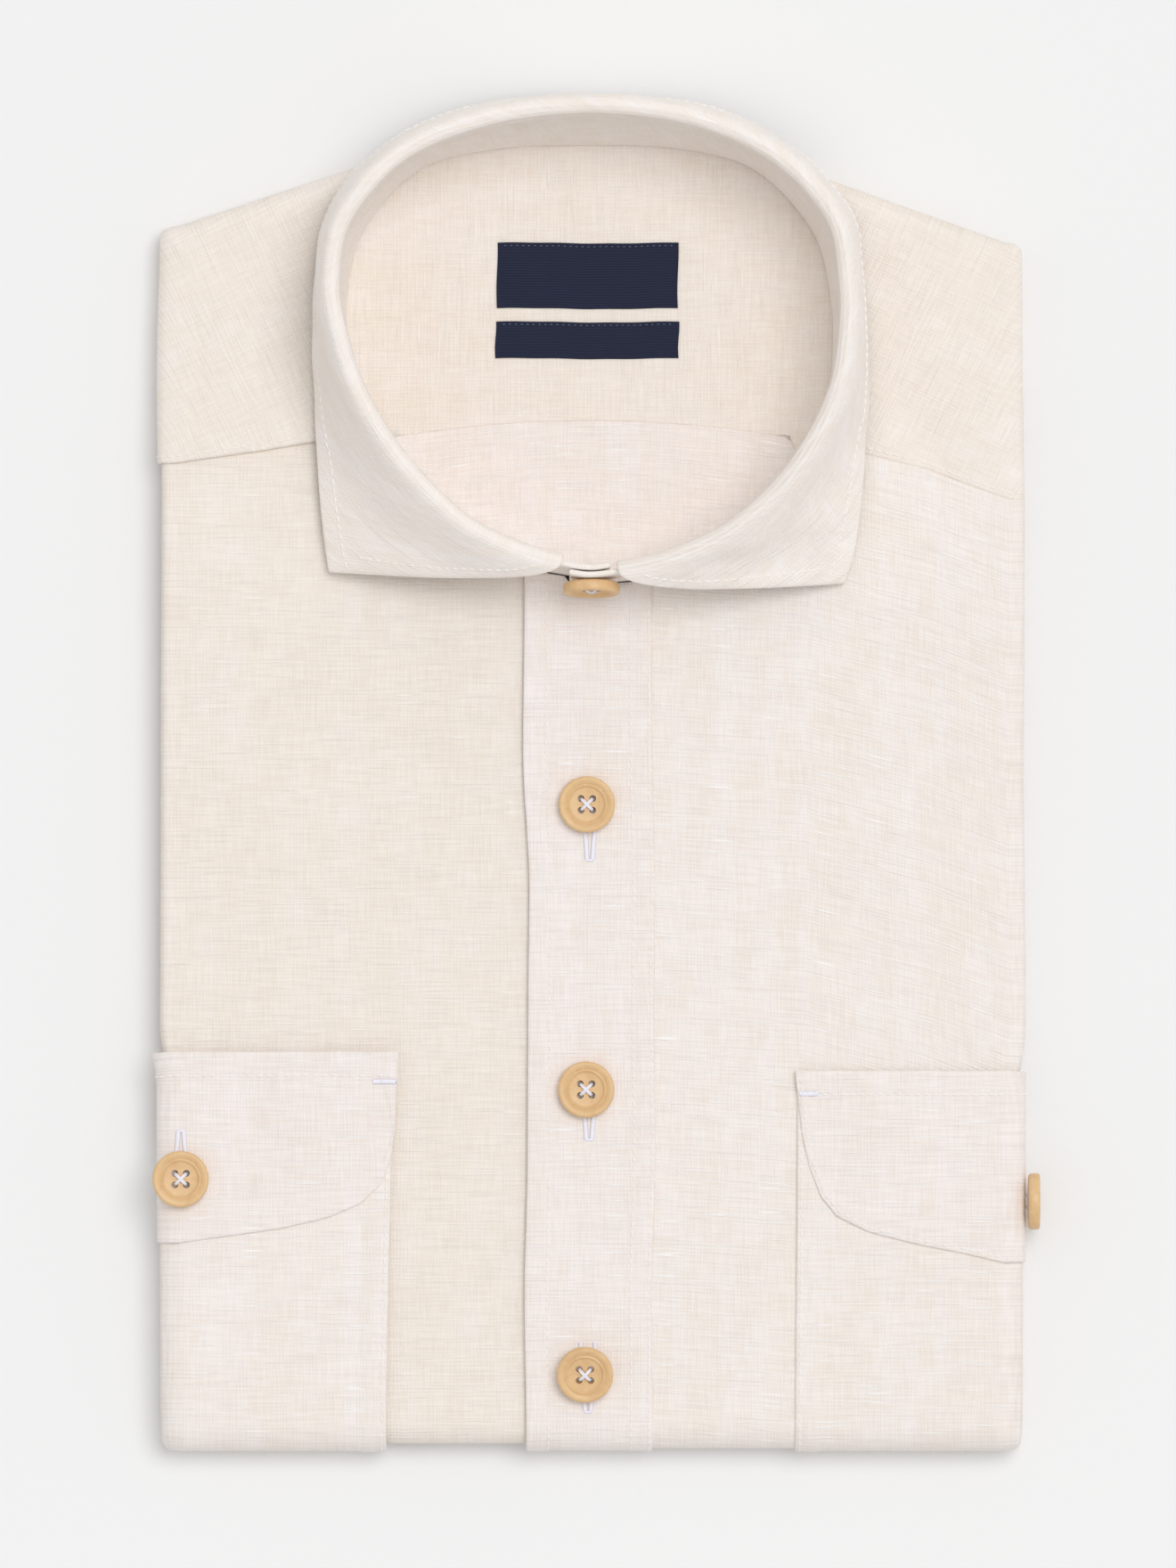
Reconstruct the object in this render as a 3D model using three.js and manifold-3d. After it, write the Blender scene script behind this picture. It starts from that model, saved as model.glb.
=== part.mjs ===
// A linen safari shirt, folded for a shelf: it lies face up with its collar buttoned and standing.
// Millimetres, +Z up. +X is the wearer's left, +Y is towards the collar, and z = 0 is the surface
// that the shirt lies on. The two sides and the bottom are folds. The hidden layers share one solid,
// and every visible piece of cloth is a thin wall, made by moving points out from that solid's surface.

import * as THREE from "three";
import { mergeVertices } from "three/addons/utils/BufferGeometryUtils.js";
import Module from "manifold-3d";

// Cloth thicknesses, and the gap between neighbouring pieces
const GAP = 0.3;
const PANEL = 1.0;
const DOUBLED = 1.2;
const FLAP_CLOTH = 1.4;
const COLLAR_CLOTH = 1.6;
const STAND_CLOTH = 1.5;

// How far each layer lies out from the hidden layers: its inner and its outer face
const ON_STACK = [GAP, GAP + PANEL];
const ON_FRONT = [ON_STACK[1] + GAP, ON_STACK[1] + GAP + DOUBLED];
const ON_POCKET = [ON_FRONT[1] + GAP, ON_FRONT[1] + GAP + FLAP_CLOTH];

// The folded stack
const BOTTOM_FOLD = -183;
const TOP_LEVEL = 15.0;
const TAIL_LEVEL = ON_FRONT[1];
const TURN = (TOP_LEVEL - TAIL_LEVEL) / 2;
const TURN_AXIS = BOTTOM_FOLD + TURN + ON_FRONT[1];
const MIDDLE_LEVEL = TOP_LEVEL - TURN;
const TAIL_HEM = 88;
const SETTLED = 93;

// The stack's top is a little domed: how high, where that starts and ends, and over what lengths
const PUFF = { height: 1.2, rise: 60, end: 130, fall: 90 };

// Where the full stack eases into the thinner shoulder: start and length, along y
const THINNER_TOP = { from: 55, over: 80 };
const THINNER_MIDDLE = { from: 60, over: 75 };
const SINGLE_SIDES = { from: 70, over: 45 };

// The shoulder end, where the layers are fewer and settle on to the surface
const SHOULDER_TOP = 10.3;
const SHOULDER_UNDER = ON_STACK[1];
const SHOULDER_TURN = (SHOULDER_TOP - SHOULDER_UNDER) / 2;
const SHOULDER_MIDDLE = SHOULDER_UNDER + SHOULDER_TURN;
const SHOULDER_FROM = 118;
const YOKE_HEM = 104;

// Side folds: half of a round bundle shows above a groove, and the tail's bundle below it
const SIDE_ROUND = TURN / 2;
const GROOVE = 0.35;
const FOLD_CORNER = 150;
const SIDE_LINE = [
  { y: -183, right: 113.2, left: 114.2 },
  { y: -84, right: 113.6, left: 114.3 },
  { y: -68, right: 115.7, left: 116.2 },
  { y: 0, right: 115.5, left: 115.7 },
  { y: 74, right: 115.3, left: 115.9 },
  { y: 112, right: 116.1, left: 116.0 },
  { y: FOLD_CORNER, right: 115.2, left: 115.9 },
];
const SHOULDER_LINE = [
  { x: -117, y: 146 },
  { x: -58.6, y: 165.4 },
  { x: -28, y: 172 },
  { x: 0, y: 174 },
  { x: 28, y: 171.5 },
  { x: 58.6, y: 162.7 },
  { x: 117, y: 141.8 },
];
const YOKE_SEAM = [
  { x: -117, y: 83.3 },
  { x: -87, y: 87.5 },
  { x: -58, y: 92.5 },
  { x: 0, y: 94 },
  { x: 58, y: 90.5 },
  { x: 90.7, y: 82.1 },
  { x: 117, y: 72.5 },
];

// How far the cloth pieces wrap round a side fold, in half turns from the top edge
const FRONT_WRAP = 0.66;
const POCKET_WRAP = 0.6;
const FLAP_WRAP = 0.58;
const YOKE_WRAP = 0.66;

// Placket: the left front laps over the right front, and its two edges waver a little
const PLACKET_TOP = 50.3;
const PLACKET_EDGES = [
  { y: -183, right: -17.1, left: 16.9 },
  { y: -140, right: -17.6, left: 16.7 },
  { y: -102, right: -16.8, left: 17.7 },
  { y: -61, right: -16.6, left: 17.3 },
  { y: -31, right: -16.3, left: 17.5 },
  { y: 7, right: -18.0, left: 16.8 },
  { y: 52, right: -17.6, left: 16.6 },
];
const FRONTS_MEET = -4;

// Pockets run past the bottom fold, and half of each lies behind its side fold
const POCKET_LENGTH = 190;
const POCKET_BELOW_SEAM = 6;
const POCKET_TAPER = 100;
const POCKET_EDGE = { right: [53.2, 54.8], left: [55.8, 55.3] };
const FLAP_SEAM = { right: -74.4, left: -79.5 };
const FLAP_EDGE = {
  right: [
    { seam: 51.2, hem: 52.4, drop: 21 },
    { seam: 51.9, hem: 53.4, drop: 29 },
    { seam: 54, hem: 56.2, drop: 36 },
    { seam: 59, hem: 61.5, drop: 41 },
    { seam: 68, hem: 70, drop: 44.7 },
    { seam: 82, hem: 83, drop: 47.8 },
    { seam: 98, hem: 98.4, drop: 50 },
    { seam: 110, hem: 110, drop: 51.6 },
  ],
  left: [
    { seam: 54.8, hem: 57, drop: 18 },
    { seam: 55.8, hem: 58.8, drop: 26 },
    { seam: 58.4, hem: 61.8, drop: 34 },
    { seam: 63, hem: 66.2, drop: 39.4 },
    { seam: 72, hem: 74.5, drop: 43.5 },
    { seam: 86, hem: 88, drop: 47 },
    { seam: 99, hem: 100, drop: 49.4 },
    { seam: 110, hem: 110, drop: 51.8 },
  ],
};

// Collar, from the right end of the stand, round the back, to its left end, which laps over.
// crest: top of the stand. seam: foot of the stand. edge: lower edge of the turned-down collar.
const STAND_REVEAL = 0.35;
const LAP = { out: 1.9, stations: 1.6 };
const SEAM_LEVEL = { front: 15.2, back: 9.3, from: 50, over: 115 };
const COLLAR = [
  { crest: [5.5, 56.5, 40.8], seam: [5.5, 54.5], edge: [-70.3, 54.6, 18.6] },
  { crest: [0, 55.9, 40.8], seam: [0, 53.9], edge: [-70.3, 54.6, 18.6] },
  { crest: [-7.5, 57.0, 41.0], seam: [-7.5, 54.6], edge: [-70.3, 54.6, 18.6] },
  { crest: [-20.5, 60.8, 41.4], seam: [-20.3, 57.4], edge: [-71.3, 61.5, 18.6] },
  { crest: [-35.6, 68.8, 42.0], seam: [-35.2, 64.8], edge: [-72.6, 74.5, 18.4] },
  { crest: [-51.2, 84.8, 43.0], seam: [-50.3, 80], edge: [-73.4, 90, 17.8] },
  { crest: [-62, 102, 44.0], seam: [-60.5, 97], edge: [-73.6, 104.5, 17.0] },
  { crest: [-67.4, 117.5, 44.8], seam: [-65, 113], edge: [-73.6, 119, 15.8] },
  { crest: [-69.8, 133, 45.2], seam: [-66, 129], edge: [-73.4, 134, 14.8] },
  { crest: [-66, 150.5, 45.2], seam: [-61.5, 147], edge: [-69.4, 153, 14.2] },
  { crest: [-50.5, 167.5, 44.8], seam: [-46.5, 163.5], edge: [-53, 170.5, 13.4] },
  { crest: [-27, 177, 44.0], seam: [-25, 169.3], edge: [-28, 180.4, 7] },
  { crest: [0, 180.2, 43.6], seam: [0, 170.3], edge: [0, 182.1, 4.6] },
  { crest: [27.5, 177, 44.0], seam: [25, 169.3], edge: [28.5, 180.2, 7] },
  { crest: [50, 167, 44.8], seam: [45, 163.5], edge: [52.5, 169.8, 13.4] },
  { crest: [65.5, 150.5, 45.2], seam: [60.5, 147], edge: [69, 152.5, 14.2] },
  { crest: [69.3, 133, 45.2], seam: [65.5, 129], edge: [73, 133.5, 14.8] },
  { crest: [69.1, 116.5, 44.8], seam: [66, 112.5], edge: [74.2, 117, 15.8] },
  { crest: [65.6, 100.5, 44.0], seam: [63.5, 96], edge: [74.4, 102, 17.0] },
  { crest: [54.8, 81.5, 43.0], seam: [53, 77.5], edge: [73.8, 88, 17.8] },
  { crest: [38.8, 66.2, 42.0], seam: [38, 62.2], edge: [72.8, 72, 18.4] },
  { crest: [20.8, 57.8, 41.4], seam: [20.6, 54.4], edge: [71.2, 60, 18.6] },
  { crest: [7.5, 54.9, 41.0], seam: [7.5, 52.6], edge: [68.6, 51.6, 18.6] },
  { crest: [0, 54.0, 40.8], seam: [0, 52.0], edge: [68.6, 51.6, 18.6] },
  { crest: [-5.5, 54.7, 40.8], seam: [-5.5, 52.7], edge: [68.6, 51.6, 18.6] },
];
const LEAF_FROM = 2;
const LEAF_TO = 22;
const NECK_MIDDLE = new THREE.Vector3(0, 118, 0);

// Turned-down collar: how far it reaches down inside, its roll, and how its leaf leaves the roll
const INNER_LIMB = 4;
const ROLL = STAND_CLOTH / 2 + GAP + COLLAR_CLOTH / 2;
const ROLL_DROP = 0.5;
const LEAF_SHOULDER = 4.2;
const LEAF_KNEE = { out: 3.5, share: 0.45 };

// Inside the neck
const NECK_FLOOR = 7.6;
const NECK_EASE = 0.45;
const NECK_CLEARANCE = STAND_CLOTH / 2 + GAP + NECK_EASE;
const LINING_SEAM = { middle: 95.5, side: 90.5, at: 56 };
const PAST_NECK = { side: 90, back: 200, front: 20 };
const LABELS = [
  { name: "label_main", left: -25, right: 23.8, low: 125.8, high: 143.5 },
  { name: "label_size", left: -25.4, right: 24, low: 112.3, high: 122.2 },
];
const LABEL_CLOTH = 1.0;

// Buttons: four holes, a dished middle and a rounded rim
const BUTTON = { radius: 7.6, thickness: 3.2, dish: 4.9, floor: 2.1, hole: 0.95, holeSpacing: 1.6 };
const FRONT_BUTTONS = [
  { name: "button_front_1", x: -0.8, y: -7.9, tilt: 0 },
  { name: "button_front_2", x: -1.0, y: -84.7, tilt: 0 },
  { name: "button_front_3", x: -1.3, y: -161.2, tilt: 14 },
];
const POCKET_BUTTONS = {
  right: { x: -110.2, y: -108.8 },
  left: { y: -114.9 },
};
const COLLAR_BUTTON = { x: 0.5, height: 31, tilt: 9, off: 0.7 };

// Finishes
const LINEN = { color: 0xf1e8dc, roughness: 0.92, metalness: 0 };
const LINEN_DOUBLED = { color: 0xf3ebe6, roughness: 0.92, metalness: 0 };
const LINEN_INSIDE = { color: 0xf0e2d0, roughness: 0.92, metalness: 0 };
const NUT = { color: 0xdcb478, roughness: 0.55, metalness: 0 };
const NAVY = { color: 0x1f2537, roughness: 0.85, metalness: 0 };

const wasm = await Module();
wasm.setup();

const shirt = new THREE.Group();

// Curves and tables

const smooth = (t) => {
  const u = Math.min(1, Math.max(0, t));
  return u * u * (3 - 2 * u);
};
const mix = THREE.MathUtils.lerp;

// A value from a table, eased from row to row
function fromTable(table, key, at, value) {
  if (at <= table[0][key]) return table[0][value];
  for (let i = 1; i < table.length; i++) {
    const [low, high] = [table[i - 1], table[i]];
    if (at > high[key]) continue;
    const share = smooth((at - low[key]) / (high[key] - low[key]));
    return mix(low[value], high[value], share);
  }
  return table[table.length - 1][value];
}

// A value from a table, along straight lines
function alongTable(table, key, at, value) {
  const last = table.length - 1;
  const above = table.findIndex((row, i) => i > 0 && at <= row[key]);
  const i = above < 0 ? last : above;
  const share = (at - table[i - 1][key]) / (table[i][key] - table[i - 1][key]);
  return mix(table[i - 1][value], table[i][value], share);
}

function steps(from, to, count) {
  return Array.from({ length: count + 1 }, (_, i) => mix(from, to, i / count));
}

// The surface of the hidden layers

const sideOf = (across) => (across < 0 ? "right" : "left");
const flatHalf = (across, y) => {
  const half = fromTable(SIDE_LINE, "y", y, sideOf(across));
  return half - sideReach(y);
};
const eased = ({ from, over }, y) => smooth((y - from) / over);
const single = (y) => eased(SINGLE_SIDES, y);
const sideReach = (y) => mix(SIDE_ROUND, SHOULDER_TURN, single(y));
const middleLevel = (y) => mix(MIDDLE_LEVEL, SHOULDER_MIDDLE, eased(THINNER_MIDDLE, y));
const settled = (y) => Math.min(1, Math.max(0, (y - TAIL_HEM) / (SETTLED - TAIL_HEM)));
const underLevel = (y) => mix(TAIL_LEVEL, SHOULDER_UNDER, settled(y));
const shoulderAxis = (x) => alongTable(SHOULDER_LINE, "x", x, "y") - SHOULDER_UNDER - SHOULDER_TURN;

function topLevel(across, y) {
  const rise = PUFF.height * smooth((y - TURN_AXIS) / PUFF.rise) * smooth((PUFF.end - y) / PUFF.fall);
  const crown = Math.cos((Math.PI / 2) * Math.min(1, Math.abs(across)));
  return mix(TOP_LEVEL, SHOULDER_TOP, eased(THINNER_TOP, y)) + rise * crown;
}

// A place on the side fold: round runs from 0, the edge of the flat, to 1, the middle of the stack.
// It gives the step out from the flat's edge and the height over the stack's middle.
function sideFold(round, half, y) {
  const turned = Math.PI * (0.5 - round);
  const reach = sideReach(y);
  let bundle = reach * Math.cos(turned);
  if (round > 0.5) bundle = Math.max(bundle, reach * GROOVE);
  const bundleHeight = (half / 2) * (1 + Math.sin(turned));
  const lone = (Math.PI / 2) * (1 - round);
  const share = single(y);
  return {
    out: mix(bundle, reach * Math.cos(lone), share),
    height: mix(bundleHeight, half * Math.sin(lone), share),
  };
}

// A point of the stack's surface. across is 0 at the middle and -1 or 1 where a side fold starts,
// and goes on to -2 or 2 at the stack's mid-height. along is minus y on the top, and goes on round
// the bottom fold to the tail underneath, or the other way round the shoulder fold.
function stackPoint(across, along) {
  const sign = Math.sign(across) || 1;
  const flat = Math.min(1, Math.abs(across));
  const round = Math.abs(across) - flat;
  const shoulderX = sign * flat * flatHalf(across, FOLD_CORNER);
  const shoulder = shoulderAxis(shoulderX);
  const tailStart = -TURN_AXIS + Math.PI * TURN;
  const underStart = -shoulder - Math.PI * SHOULDER_TURN;

  let y = -along;
  let turn = 0;
  let half = 0;
  if (along > tailStart) {
    y = TURN_AXIS + along - tailStart;
    turn = Math.PI;
    half = middleLevel(y) - underLevel(y);
  } else if (along > -TURN_AXIS) {
    y = TURN_AXIS;
    turn = (along + TURN_AXIS) / TURN;
    half = TURN;
  } else if (along < underStart) {
    y = shoulder + along - underStart;
    turn = Math.PI;
    half = middleLevel(y) - SHOULDER_UNDER;
  } else if (along < -shoulder) {
    y = shoulder;
    turn = (-along - shoulder) / SHOULDER_TURN;
    half = SHOULDER_TURN;
  } else {
    half = topLevel(across, y) - middleLevel(y);
  }
  const towards = along > 0 ? -1 : 1;
  const fold = round > 0 ? sideFold(round, half, y) : { out: 0, height: half };
  return new THREE.Vector3(
    sign * (flat * flatHalf(across, y) + fold.out),
    y + towards * Math.sin(turn) * fold.height,
    middleLevel(y) + Math.cos(turn) * fold.height,
  );
}

// Where the stack's rows and columns lie, for the hidden layers and for the cloth on them
const LEVELS = [72, 55, 32, 10, -30, -68, -76, -84, -120, -150];
const FLATS = [0.84, 0.6, 0.35, 0.15];
const LEAST_ROW = 2;
const TAIL_START = -TURN_AXIS + Math.PI * TURN;
const BOTTOM_TURN = steps(-TURN_AXIS, TAIL_START, 8);
const onTop = (y) => -y;
const onTail = (y) => TAIL_START + y - TURN_AXIS;
const edgeOfFlat = (across, y) => Math.sign(across) * Math.min(1, Math.abs(across)) * flatHalf(across, y);
const shoulderFold = (across) => shoulderAxis(edgeOfFlat(across, FOLD_CORNER));
const onShoulderUnder = (across, y) => y - 2 * shoulderFold(across) - Math.PI * SHOULDER_TURN;
const SHOULDER_ROWS = [
  ...[1, 0.7, 0.35, 0].map((share) => (across) => mix(SHOULDER_FROM, shoulderFold(across), share)),
  () => YOKE_HEM,
];

// The share of the way along a list of stops, for rows numbered from 0
function atStop(stops, v) {
  const i = Math.min(stops.length - 2, Math.max(0, Math.floor(v)));
  return mix(stops[i], stops[i + 1], v - i);
}

// Walls and solids

function geometryOf(points, triangles) {
  const geometry = new THREE.BufferGeometry().setFromPoints(points);
  geometry.setIndex(triangles);
  return closed(geometry);
}

// Merges shared vertices, drops triangles with no area, and turns every face outwards
function closed(geometry) {
  geometry.deleteAttribute("normal");
  geometry.deleteAttribute("uv");
  const merged = mergeVertices(geometry, 1e-3);
  const index = merged.getIndex().array;
  const kept = [];
  for (let i = 0; i < index.length; i += 3) {
    const [a, b, c] = [index[i], index[i + 1], index[i + 2]];
    if (a !== b && b !== c && c !== a) kept.push(a, b, c);
  }
  const p = merged.getAttribute("position");
  const corner = (i) => new THREE.Vector3().fromBufferAttribute(p, i);
  let volume = 0;
  for (let i = 0; i < kept.length; i += 3) {
    volume += corner(kept[i]).dot(corner(kept[i + 1]).cross(corner(kept[i + 2])));
  }
  merged.setIndex(volume < 0 ? kept.reverse() : kept);
  return merged;
}

// A closed wall between two grids of points of the same size
function wallBetween(outer, inner) {
  const rows = outer.length;
  const columns = outer[0].length;
  const points = [...outer.flat(), ...inner.flat()];
  const at = (layer, r, c) => layer * rows * columns + r * columns + c;
  const triangles = [];
  const quad = (a, b, c, d) => triangles.push(a, b, c, a, c, d);
  for (let r = 0; r < rows - 1; r++) {
    for (let c = 0; c < columns - 1; c++) {
      quad(at(0, r, c), at(0, r, c + 1), at(0, r + 1, c + 1), at(0, r + 1, c));
      quad(at(1, r, c), at(1, r + 1, c), at(1, r + 1, c + 1), at(1, r, c + 1));
    }
    quad(at(0, r, 0), at(0, r + 1, 0), at(1, r + 1, 0), at(1, r, 0));
    quad(at(0, r, columns - 1), at(1, r, columns - 1), at(1, r + 1, columns - 1), at(0, r + 1, columns - 1));
  }
  for (let c = 0; c < columns - 1; c++) {
    quad(at(0, 0, c), at(1, 0, c), at(1, 0, c + 1), at(0, 0, c + 1));
    quad(at(0, rows - 1, c), at(0, rows - 1, c + 1), at(1, rows - 1, c + 1), at(1, rows - 1, c));
  }
  return geometryOf(points, triangles);
}

// A wall on a surface. place(u, v) gives the surface's point, and the wall's faces lie along its
// normal, u by v. facing is -1 where that normal points into the shirt.
function wallOn(place, us, vs, [inner, outer], facing) {
  const step = 0.004;
  const grids = [outer, inner].map((distance) =>
    vs.map((v) =>
      us.map((u) => {
        const point = place(u, v);
        const alongU = place(u + step, v).sub(place(u - step, v));
        const alongV = place(u, v + step).sub(place(u, v - step));
        const normal = alongU.cross(alongV).normalize();
        return point.addScaledVector(normal, facing * distance);
      }),
    ),
  );
  return wallBetween(grids[0], grids[1]);
}

// A wall on the stack. Its columns are places across, and line(across, v) gives the place along.
function stackWall(columns, vs, line, layer, facing) {
  const place = (across, v) => stackPoint(across, line(across, v));
  return wallOn(place, columns, vs, layer, facing);
}

function solidOf(geometry) {
  const ready = closed(geometry.clone());
  const mesh = new wasm.Mesh({
    numProp: 3,
    vertProperties: new Float32Array(ready.getAttribute("position").array),
    triVerts: new Uint32Array(ready.getIndex().array),
  });
  return new wasm.Manifold(mesh);
}

function geometryFrom(solid) {
  const { vertProperties, triVerts } = solid.getMesh();
  const geometry = new THREE.BufferGeometry();
  geometry.setAttribute("position", new THREE.BufferAttribute(vertProperties, 3));
  geometry.setIndex(new THREE.BufferAttribute(triVerts, 1));
  return geometry;
}

function cut(geometry, ...tools) {
  let solid = solidOf(geometry);
  for (const tool of tools) solid = solid.subtract(solidOf(tool));
  return geometryFrom(solid);
}

function addPiece(name, geometry, finish) {
  const mesh = new THREE.Mesh(geometry, new THREE.MeshStandardMaterial(finish));
  mesh.name = name;
  shirt.add(mesh);
  return mesh;
}

// Collar lines

const collarCurve = (pick) => new THREE.CatmullRomCurve3(COLLAR.map(pick), false, "catmullrom", 0.5);
const crestCurve = collarCurve((row) => new THREE.Vector3(...row.crest));
const edgeCurve = collarCurve((row) => new THREE.Vector3(...row.edge));
const seamCurve = collarCurve(({ seam: [x, y] }) => {
  return new THREE.Vector3(x, y, mix(SEAM_LEVEL.front, SEAM_LEVEL.back, eased(SEAM_LEVEL, y)));
});
const onCollar = (curve, station) => curve.getPoint(Math.min(1, Math.max(0, station / (COLLAR.length - 1))));

function outwardAt(curve, station) {
  const ahead = onCollar(curve, station + 0.05).sub(onCollar(curve, station - 0.05));
  const out = new THREE.Vector3(ahead.y, -ahead.x, 0).normalize();
  const away = onCollar(curve, station).sub(NECK_MIDDLE).setZ(0);
  return out.dot(away) < 0 ? out.negate() : out;
}

// The neck hole: the foot of the stand, with room for its cloth and, in front, for its lapped end
function neckHole(clearance, foot) {
  const shape = new THREE.Shape();
  const last = COLLAR.length - 2;
  for (let station = 1; station < last; station += 0.5) {
    const lap = LAP.out * (1 - smooth((station - 1) / LAP.stations));
    const out = outwardAt(seamCurve, station);
    const point = onCollar(seamCurve, station).addScaledVector(out, clearance + lap);
    if (station === 1) shape.moveTo(point.x, point.y);
    else shape.lineTo(point.x, point.y);
  }
  const tall = 60;
  const prism = new THREE.ExtrudeGeometry(shape, { depth: tall, bevelEnabled: false });
  return prism.translate(0, 0, foot);
}

// Hidden layers: one rounded solid, closed round the bottom fold and the shoulder fold

function foldedLayers() {
  const half = [...steps(2, 1, 8), ...FLATS];
  const columns = [...half.map((a) => -a), 0, ...half.toReversed()];
  const lowerRows = [SETTLED, TAIL_HEM, ...LEVELS, TURN_AXIS].map((y) => () => y);
  const levels = [...SHOULDER_ROWS, ...lowerRows];
  const rows = levels.map((level) => (across) => onTop(level(across)));
  rows.push(...BOTTOM_TURN.slice(1, -1).map((along) => () => along));
  for (const level of levels.toReversed()) {
    rows.push((across) => {
      const y = level(across);
      return y > TAIL_HEM ? onShoulderUnder(across, y) : onTail(y);
    });
  }
  const shoulderTurn = steps(Math.PI * SHOULDER_TURN, 0, 8).slice(1, -1);
  rows.push(...shoulderTurn.map((arc) => (across) => onTop(shoulderFold(across)) - arc));
  const grid = rows.map((along) => columns.map((across) => stackPoint(across, along(across))));
  const points = grid.flat();
  const wide = columns.length;
  const triangles = [];
  for (let r = 0; r < rows.length; r++) {
    const next = (r + 1) % rows.length;
    for (let c = 0; c < wide - 1; c++) {
      const [a, b] = [r * wide + c, r * wide + c + 1];
      const [d, e] = [next * wide + c, next * wide + c + 1];
      triangles.push(a, b, e, a, e, d);
    }
  }
  return cut(geometryOf(points, triangles), neckHole(NECK_CLEARANCE, NECK_FLOOR));
}

addPiece("folded_layers", foldedLayers(), LINEN_INSIDE);

// Fronts: from the yoke seam down, round the bottom fold, and under to the tail's hem

const seamBelowYoke = (across) => alongTable(YOKE_SEAM, "x", edgeOfFlat(across, 80), "y");
const numbered = (stops) => stops.map((_, i) => i);

function downTheFront(start) {
  const top = LEVELS.map(onTop).filter((along) => along > start + LEAST_ROW);
  const tail = LEVELS.toReversed().map(onTail);
  return [start, ...top, ...BOTTOM_TURN, ...tail, onTail(TAIL_HEM)];
}

function front(side) {
  const sign = side === "right" ? -1 : 1;
  const wrap = steps(FRONT_WRAP, 0, 5).map((w) => 1 + w);
  const inner = (FRONTS_MEET + (sign * GAP) / 2) / flatHalf(sign, 0);
  const columns = [...[...wrap, ...FLATS].map((a) => sign * a), inner];
  const stops = downTheFront(onTop(TAIL_HEM));
  const line = (across, v) => atStop([onTop(seamBelowYoke(across)) + GAP, ...stops.slice(1)], v);
  const wall = stackWall(columns, numbered(stops), line, ON_STACK, -1);
  return cut(wall, neckHole(NECK_CLEARANCE, NECK_FLOOR));
}

addPiece("front_right", front("right"), LINEN);
addPiece("front_left", front("left"), LINEN);

// Yoke: from the front seams over both shoulder folds and round the back neck, then under

function yoke() {
  const half = [...steps(YOKE_WRAP, 0, 5).map((w) => 1 + w), ...FLATS];
  const columns = [...half.map((a) => -a), 0, ...half.toReversed()];
  const stopsAt = (across) => {
    const seam = onTop(seamBelowYoke(across));
    const top = SHOULDER_ROWS.toReversed().map((row) => onTop(row(across)));
    const turn = steps(0, Math.PI * SHOULDER_TURN, 8).map((arc) => onTop(shoulderFold(across)) - arc);
    const under = SHOULDER_ROWS.slice(1).map((row) => onShoulderUnder(across, row(across)));
    return [seam, mix(seam, top[0], 0.5), ...top, ...turn.slice(1), ...under];
  };
  const line = (across, v) => atStop(stopsAt(across), v);
  const wall = stackWall(columns, numbered(stopsAt(0)), line, ON_STACK, 1);
  return cut(wall, neckHole(NECK_CLEARANCE, NECK_FLOOR));
}

addPiece("yoke", yoke(), LINEN);

// Placket: a doubled strip down the middle, over the seam between the fronts

function placket() {
  const stops = downTheFront(onTop(PLACKET_TOP));
  const half = flatHalf(1, 0);
  const place = (u, v) => {
    const along = atStop(stops, v);
    const y = Math.max(TURN_AXIS, -along);
    const x = mix(fromTable(PLACKET_EDGES, "y", y, "right"), fromTable(PLACKET_EDGES, "y", y, "left"), u);
    const point = stackPoint(x / half, along);
    point.x = x;
    return point;
  };
  return wallOn(place, steps(0, 1, 4), numbered(stops), ON_FRONT, -1);
}

addPiece("placket", placket(), LINEN_DOUBLED);

// Patch pockets and their flaps

function pocket(side) {
  const sign = side === "right" ? -1 : 1;
  const start = -FLAP_SEAM[side] + POCKET_BELOW_SEAM;
  const end = start + POCKET_LENGTH;
  const top = LEVELS.map(onTop).filter((along) => along > start + LEAST_ROW);
  const tail = LEVELS.toReversed().map(onTail).filter((along) => along < end - LEAST_ROW);
  const stops = [start, ...top, ...BOTTOM_TURN, ...tail, end];
  const [edgeHigh, edgeLow] = POCKET_EDGE[side];
  const columns = [0, 0.5, ...steps(1, 1 + POCKET_WRAP, 5)];
  const place = (u, v) => {
    const along = atStop(stops, v);
    const edge = mix(edgeHigh, edgeLow, smooth((along - start) / POCKET_TAPER));
    const inner = edge / flatHalf(sign, -Math.min(along, -TURN_AXIS));
    return stackPoint(sign * (u >= 1 ? u : mix(inner, 1, u)), along);
  };
  return wallOn(place, columns, numbered(stops), ON_FRONT, -sign);
}

function flap(side) {
  const sign = side === "right" ? -1 : 1;
  const table = FLAP_EDGE[side];
  const last = table.length - 1;
  const seam = FLAP_SEAM[side];
  const wraps = 6;
  const place = (u, v) => {
    const i = Math.min(last - 1, Math.max(0, Math.floor(u)));
    const share = Math.min(1, u - i);
    const row = (key) => mix(table[i][key], table[i + 1][key], share);
    const along = -seam + v * row("drop");
    if (u > last) return stackPoint(sign * (1 + ((u - last) / wraps) * FLAP_WRAP), along);
    const flat = flatHalf(sign, -along);
    const stretch = mix(1, flat / table[last].hem, row("seam") / table[last].hem);
    return stackPoint((sign * stretch * mix(row("seam"), row("hem"), v)) / flat, along);
  };
  return wallOn(place, steps(0, last + wraps, last + wraps), steps(0, 1, 4), ON_POCKET, -sign);
}

for (const side of ["right", "left"]) {
  addPiece(`pocket_${side}`, pocket(side), LINEN);
  addPiece(`flap_${side}`, flap(side), LINEN_DOUBLED);
}

// Inside the neck: the yoke's lining, and the back below its seam

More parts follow.
